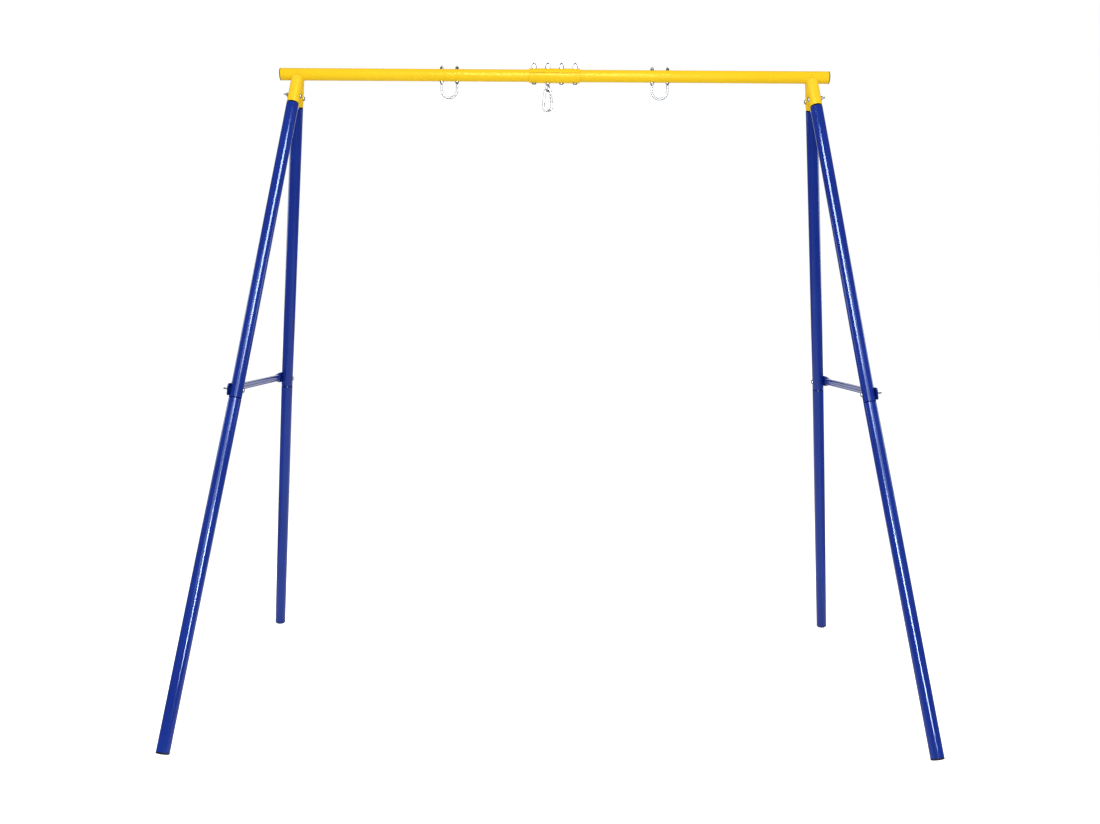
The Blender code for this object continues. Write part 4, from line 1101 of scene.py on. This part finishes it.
def make_floor_material():
    """White paper that keeps the object's shadow. The camera sees it white everywhere, and mirror
    rays see it white only near the object, like a studio sweep."""
    material = bpy.data.materials.new("studio_floor")
    material.use_nodes = True
    tree = material.node_tree
    tree.nodes.clear()
    coords = tree.nodes.new("ShaderNodeTexCoord").outputs["Object"]
    paper = spread(tree, noise(tree, coords, PAPER_SCALE, 3.0), NOISE_MIDDLE, PAPER_SHADES)
    shade = add_node(tree, "ShaderNodeBsdfDiffuse", {"Color": paper})
    axes = add_node(tree, "ShaderNodeSeparateXYZ", {0: coords})
    aside = calculate(tree, "ABSOLUTE", axes.outputs["X"])
    across = spread(tree, aside, SWEEP_ASIDE, SWEEP_LEVELS)
    along = spread(tree, axes.outputs["Y"], SWEEP_AHEAD, (SWEEP_LEVELS[1], 1.0))
    mirrored = calculate(tree, "MULTIPLY", across, along)
    direct = tree.nodes.new("ShaderNodeLightPath").outputs["Is Camera Ray"]
    level = calculate(tree, "MULTIPLY_ADD", direct, FLOOR_LEVEL, mirrored)
    glow = add_node(tree, "ShaderNodeEmission", {"Color": WHITE, "Strength": level})
    share = calculate(tree, "MULTIPLY", seen_directly(tree), FLOOR_SHARE)
    mix = add_node(tree, "ShaderNodeMixShader", {0: share, 1: shade.outputs[0], 2: glow.outputs[0]})
    add_node(tree, "ShaderNodeOutputMaterial", {"Surface": mix.outputs[0]})
    return material


def make_floor():
    reach = FLOOR_REACH
    corners = [(-reach, -reach, 0), (reach, -reach, 0), (reach, reach, 0), (-reach, reach, 0)]
    mesh = bpy.data.meshes.new("studio_floor")
    mesh.from_pydata(corners, [], [(0, 1, 2, 3)])
    mesh.materials.append(make_floor_material())
    floor = bpy.data.objects.new("studio_floor", mesh)
    bpy.context.scene.collection.objects.link(floor)


def make_world():
    """White for the camera. Mirror rays see a white backdrop low behind the object and a grey room
    elsewhere, and diffuse rays get soft light, brighter from the front."""
    world = bpy.data.worlds.new("studio")
    bpy.context.scene.world = world
    world.use_nodes = True
    tree = world.node_tree
    tree.nodes.clear()
    coords = tree.nodes.new("ShaderNodeTexCoord").outputs["Generated"]
    axes = add_node(tree, "ShaderNodeSeparateXYZ", {0: coords})
    path = tree.nodes.new("ShaderNodeLightPath")
    low = spread(tree, axes.outputs["Z"], BACKDROP_TOP, (1.0, 0.0))
    behind = spread(tree, axes.outputs["Y"], BACKDROP_SIDES, FULL)
    room = spread(tree, calculate(tree, "MULTIPLY", low, behind), FULL, (ROOM_LEVEL, 1.0))
    from_front = spread(tree, axes.outputs["Y"], (-1.0, 1.0), AMBIENT_LEVELS)
    ambient = calculate(tree, "MULTIPLY", from_front, path.outputs["Is Diffuse Ray"])
    unseen = calculate(tree, "MAXIMUM", room, ambient)
    strength = calculate(tree, "MAXIMUM", unseen, path.outputs["Is Camera Ray"])
    glow = add_node(tree, "ShaderNodeBackground", {"Color": WHITE, "Strength": strength})
    add_node(tree, "ShaderNodeOutputWorld", {"Surface": glow.outputs[0]})


def area_light(name, place, target, width, height, power, diffuse=True, glossy=True, tint=(1.0, 1.0, 1.0)):
    light = bpy.data.lights.new(name, "AREA")
    light.shape = "RECTANGLE"
    light.size = width
    light.size_y = height
    light.energy = power
    light.color = tint
    obj = bpy.data.objects.new(name, light)
    bpy.context.scene.collection.objects.link(obj)
    obj.location = place
    obj.rotation_euler = (Vector(target) - Vector(place)).to_track_quat("-Z", "Y").to_euler()
    obj.visible_camera = False
    obj.visible_diffuse = diffuse
    obj.visible_glossy = glossy
    return obj


COOL = (0.90, 0.95, 1.0)
KEY_BANK = {"place": (0.0, -4.6, 3.4), "target": (0.0, 0.0, 1.5), "width": 3.6, "height": 2.2, "power": 90.0}
REAR_BANK = {"place": (0.0, 4.6, 3.4), "target": (0.0, 0.0, 1.2), "width": 3.0, "height": 2.4, "power": 50.0}
CARD_PLACE = (3.5, 1.24, 1.6)
CARD_TARGET = (0.95, -0.35, 1.05)
CARD_SIZE = (2.4, 1.0)
CARD_POWER = 20.0

# The row of soft boxes that the front legs mirror: the ends of each box, its level and its width
STRIP = (
    (0.0, -1.00, 2.67), (0.0, -1.60, 2.14), (0.0, -1.80, 2.005), (0.0, -2.00, 1.87), (0.0, -2.12, 1.58),
    (0.12, -2.24, 1.471), (0.9, -2.80, 0.96), (1.5, -3.70, 0.95),
)
STRIP_LEVELS = (36.0, 36.0, 20.0, 4.0, 16.0, 68.0, 80.0)
STRIP_WIDTHS = (0.8, 0.8, 0.8, 0.8, 0.6, 0.4, 0.42)


def make_strip():
    """Soft boxes end to end, seen by mirror rays only. Each faces square to its own length."""
    for number, (start, end, level, width) in enumerate(zip(STRIP, STRIP[1:], STRIP_LEVELS, STRIP_WIDTHS), 1):
        start, end = Vector(start), Vector(end)
        middle, along = (start + end) / 2, end - start
        facing = Vector((0.0, -along.z, along.y))
        power = level * math.pi * width * along.length
        box = area_light(
            f"strip_{number}", middle, middle + facing, width, along.length, power, diffuse=False, tint=COOL
        )
        up = along.normalized()
        back = -facing.normalized()
        box.rotation_euler = Matrix((up.cross(back), up, back)).transposed().to_euler()


def make_lights():
    area_light("key_bank", **KEY_BANK)
    make_strip()
    area_light("rear_bank", **REAR_BANK, glossy=False)
    for side, sign in SIDES:
        place = (sign * CARD_PLACE[0], *CARD_PLACE[1:])
        target = (sign * CARD_TARGET[0], *CARD_TARGET[1:])
        area_light(f"card_{side}", place, target, *CARD_SIZE, CARD_POWER, diffuse=False, tint=COOL)


FOCAL_PIXELS = 1200
PHOTO_WIDTH_PIXELS = 1100
SENSOR_WIDTH = 36.0
CAMERA_PLACE = (-0.0003, -3.8611, 1.1962)
CAMERA_PITCH = 0.0808
CAMERA_YAW = -0.0018
CAMERA_ROLL = 0.0068
CAMERA_CLIP_END = 300.0


def make_camera():
    """The photograph's own viewpoint, fitted to the legs, the beam and the feet."""
    flat = math.cos(CAMERA_PITCH)
    ahead = Vector((math.sin(CAMERA_YAW) * flat, math.cos(CAMERA_YAW) * flat, -math.sin(CAMERA_PITCH)))
    right = Vector((math.cos(CAMERA_YAW), -math.sin(CAMERA_YAW), 0.0))
    down = ahead.cross(right)
    turned_right = math.cos(CAMERA_ROLL) * right - math.sin(CAMERA_ROLL) * down
    turned_down = math.sin(CAMERA_ROLL) * right + math.cos(CAMERA_ROLL) * down
    data = bpy.data.cameras.new("camera")
    data.sensor_width = SENSOR_WIDTH
    data.lens = SENSOR_WIDTH * FOCAL_PIXELS / PHOTO_WIDTH_PIXELS
    data.clip_end = CAMERA_CLIP_END
    camera = bpy.data.objects.new("camera", data)
    bpy.context.scene.collection.objects.link(camera)
    axes = Matrix((turned_right, -turned_down, -ahead)).transposed().to_4x4()
    camera.matrix_world = Matrix.Translation(CAMERA_PLACE) @ axes
    bpy.context.scene.camera = camera


for a_side, a_side_sign in SIDES:
    make_beam(a_side, a_side_sign)
    make_beam_cap(a_side, a_side_sign)
    make_brace(a_side, a_side_sign)
    make_ubolt(a_side, a_side_sign)
    for an_end, an_end_sign in ENDS:
        make_leg(an_end, an_end_sign, a_side, a_side_sign)
        make_leg_fasteners(an_end, an_end_sign, a_side, a_side_sign)
make_sleeve()
make_sleeve_bolts()
make_floor()
make_world()
make_lights()
make_camera()
bpy.context.scene.view_settings.view_transform = "Standard"
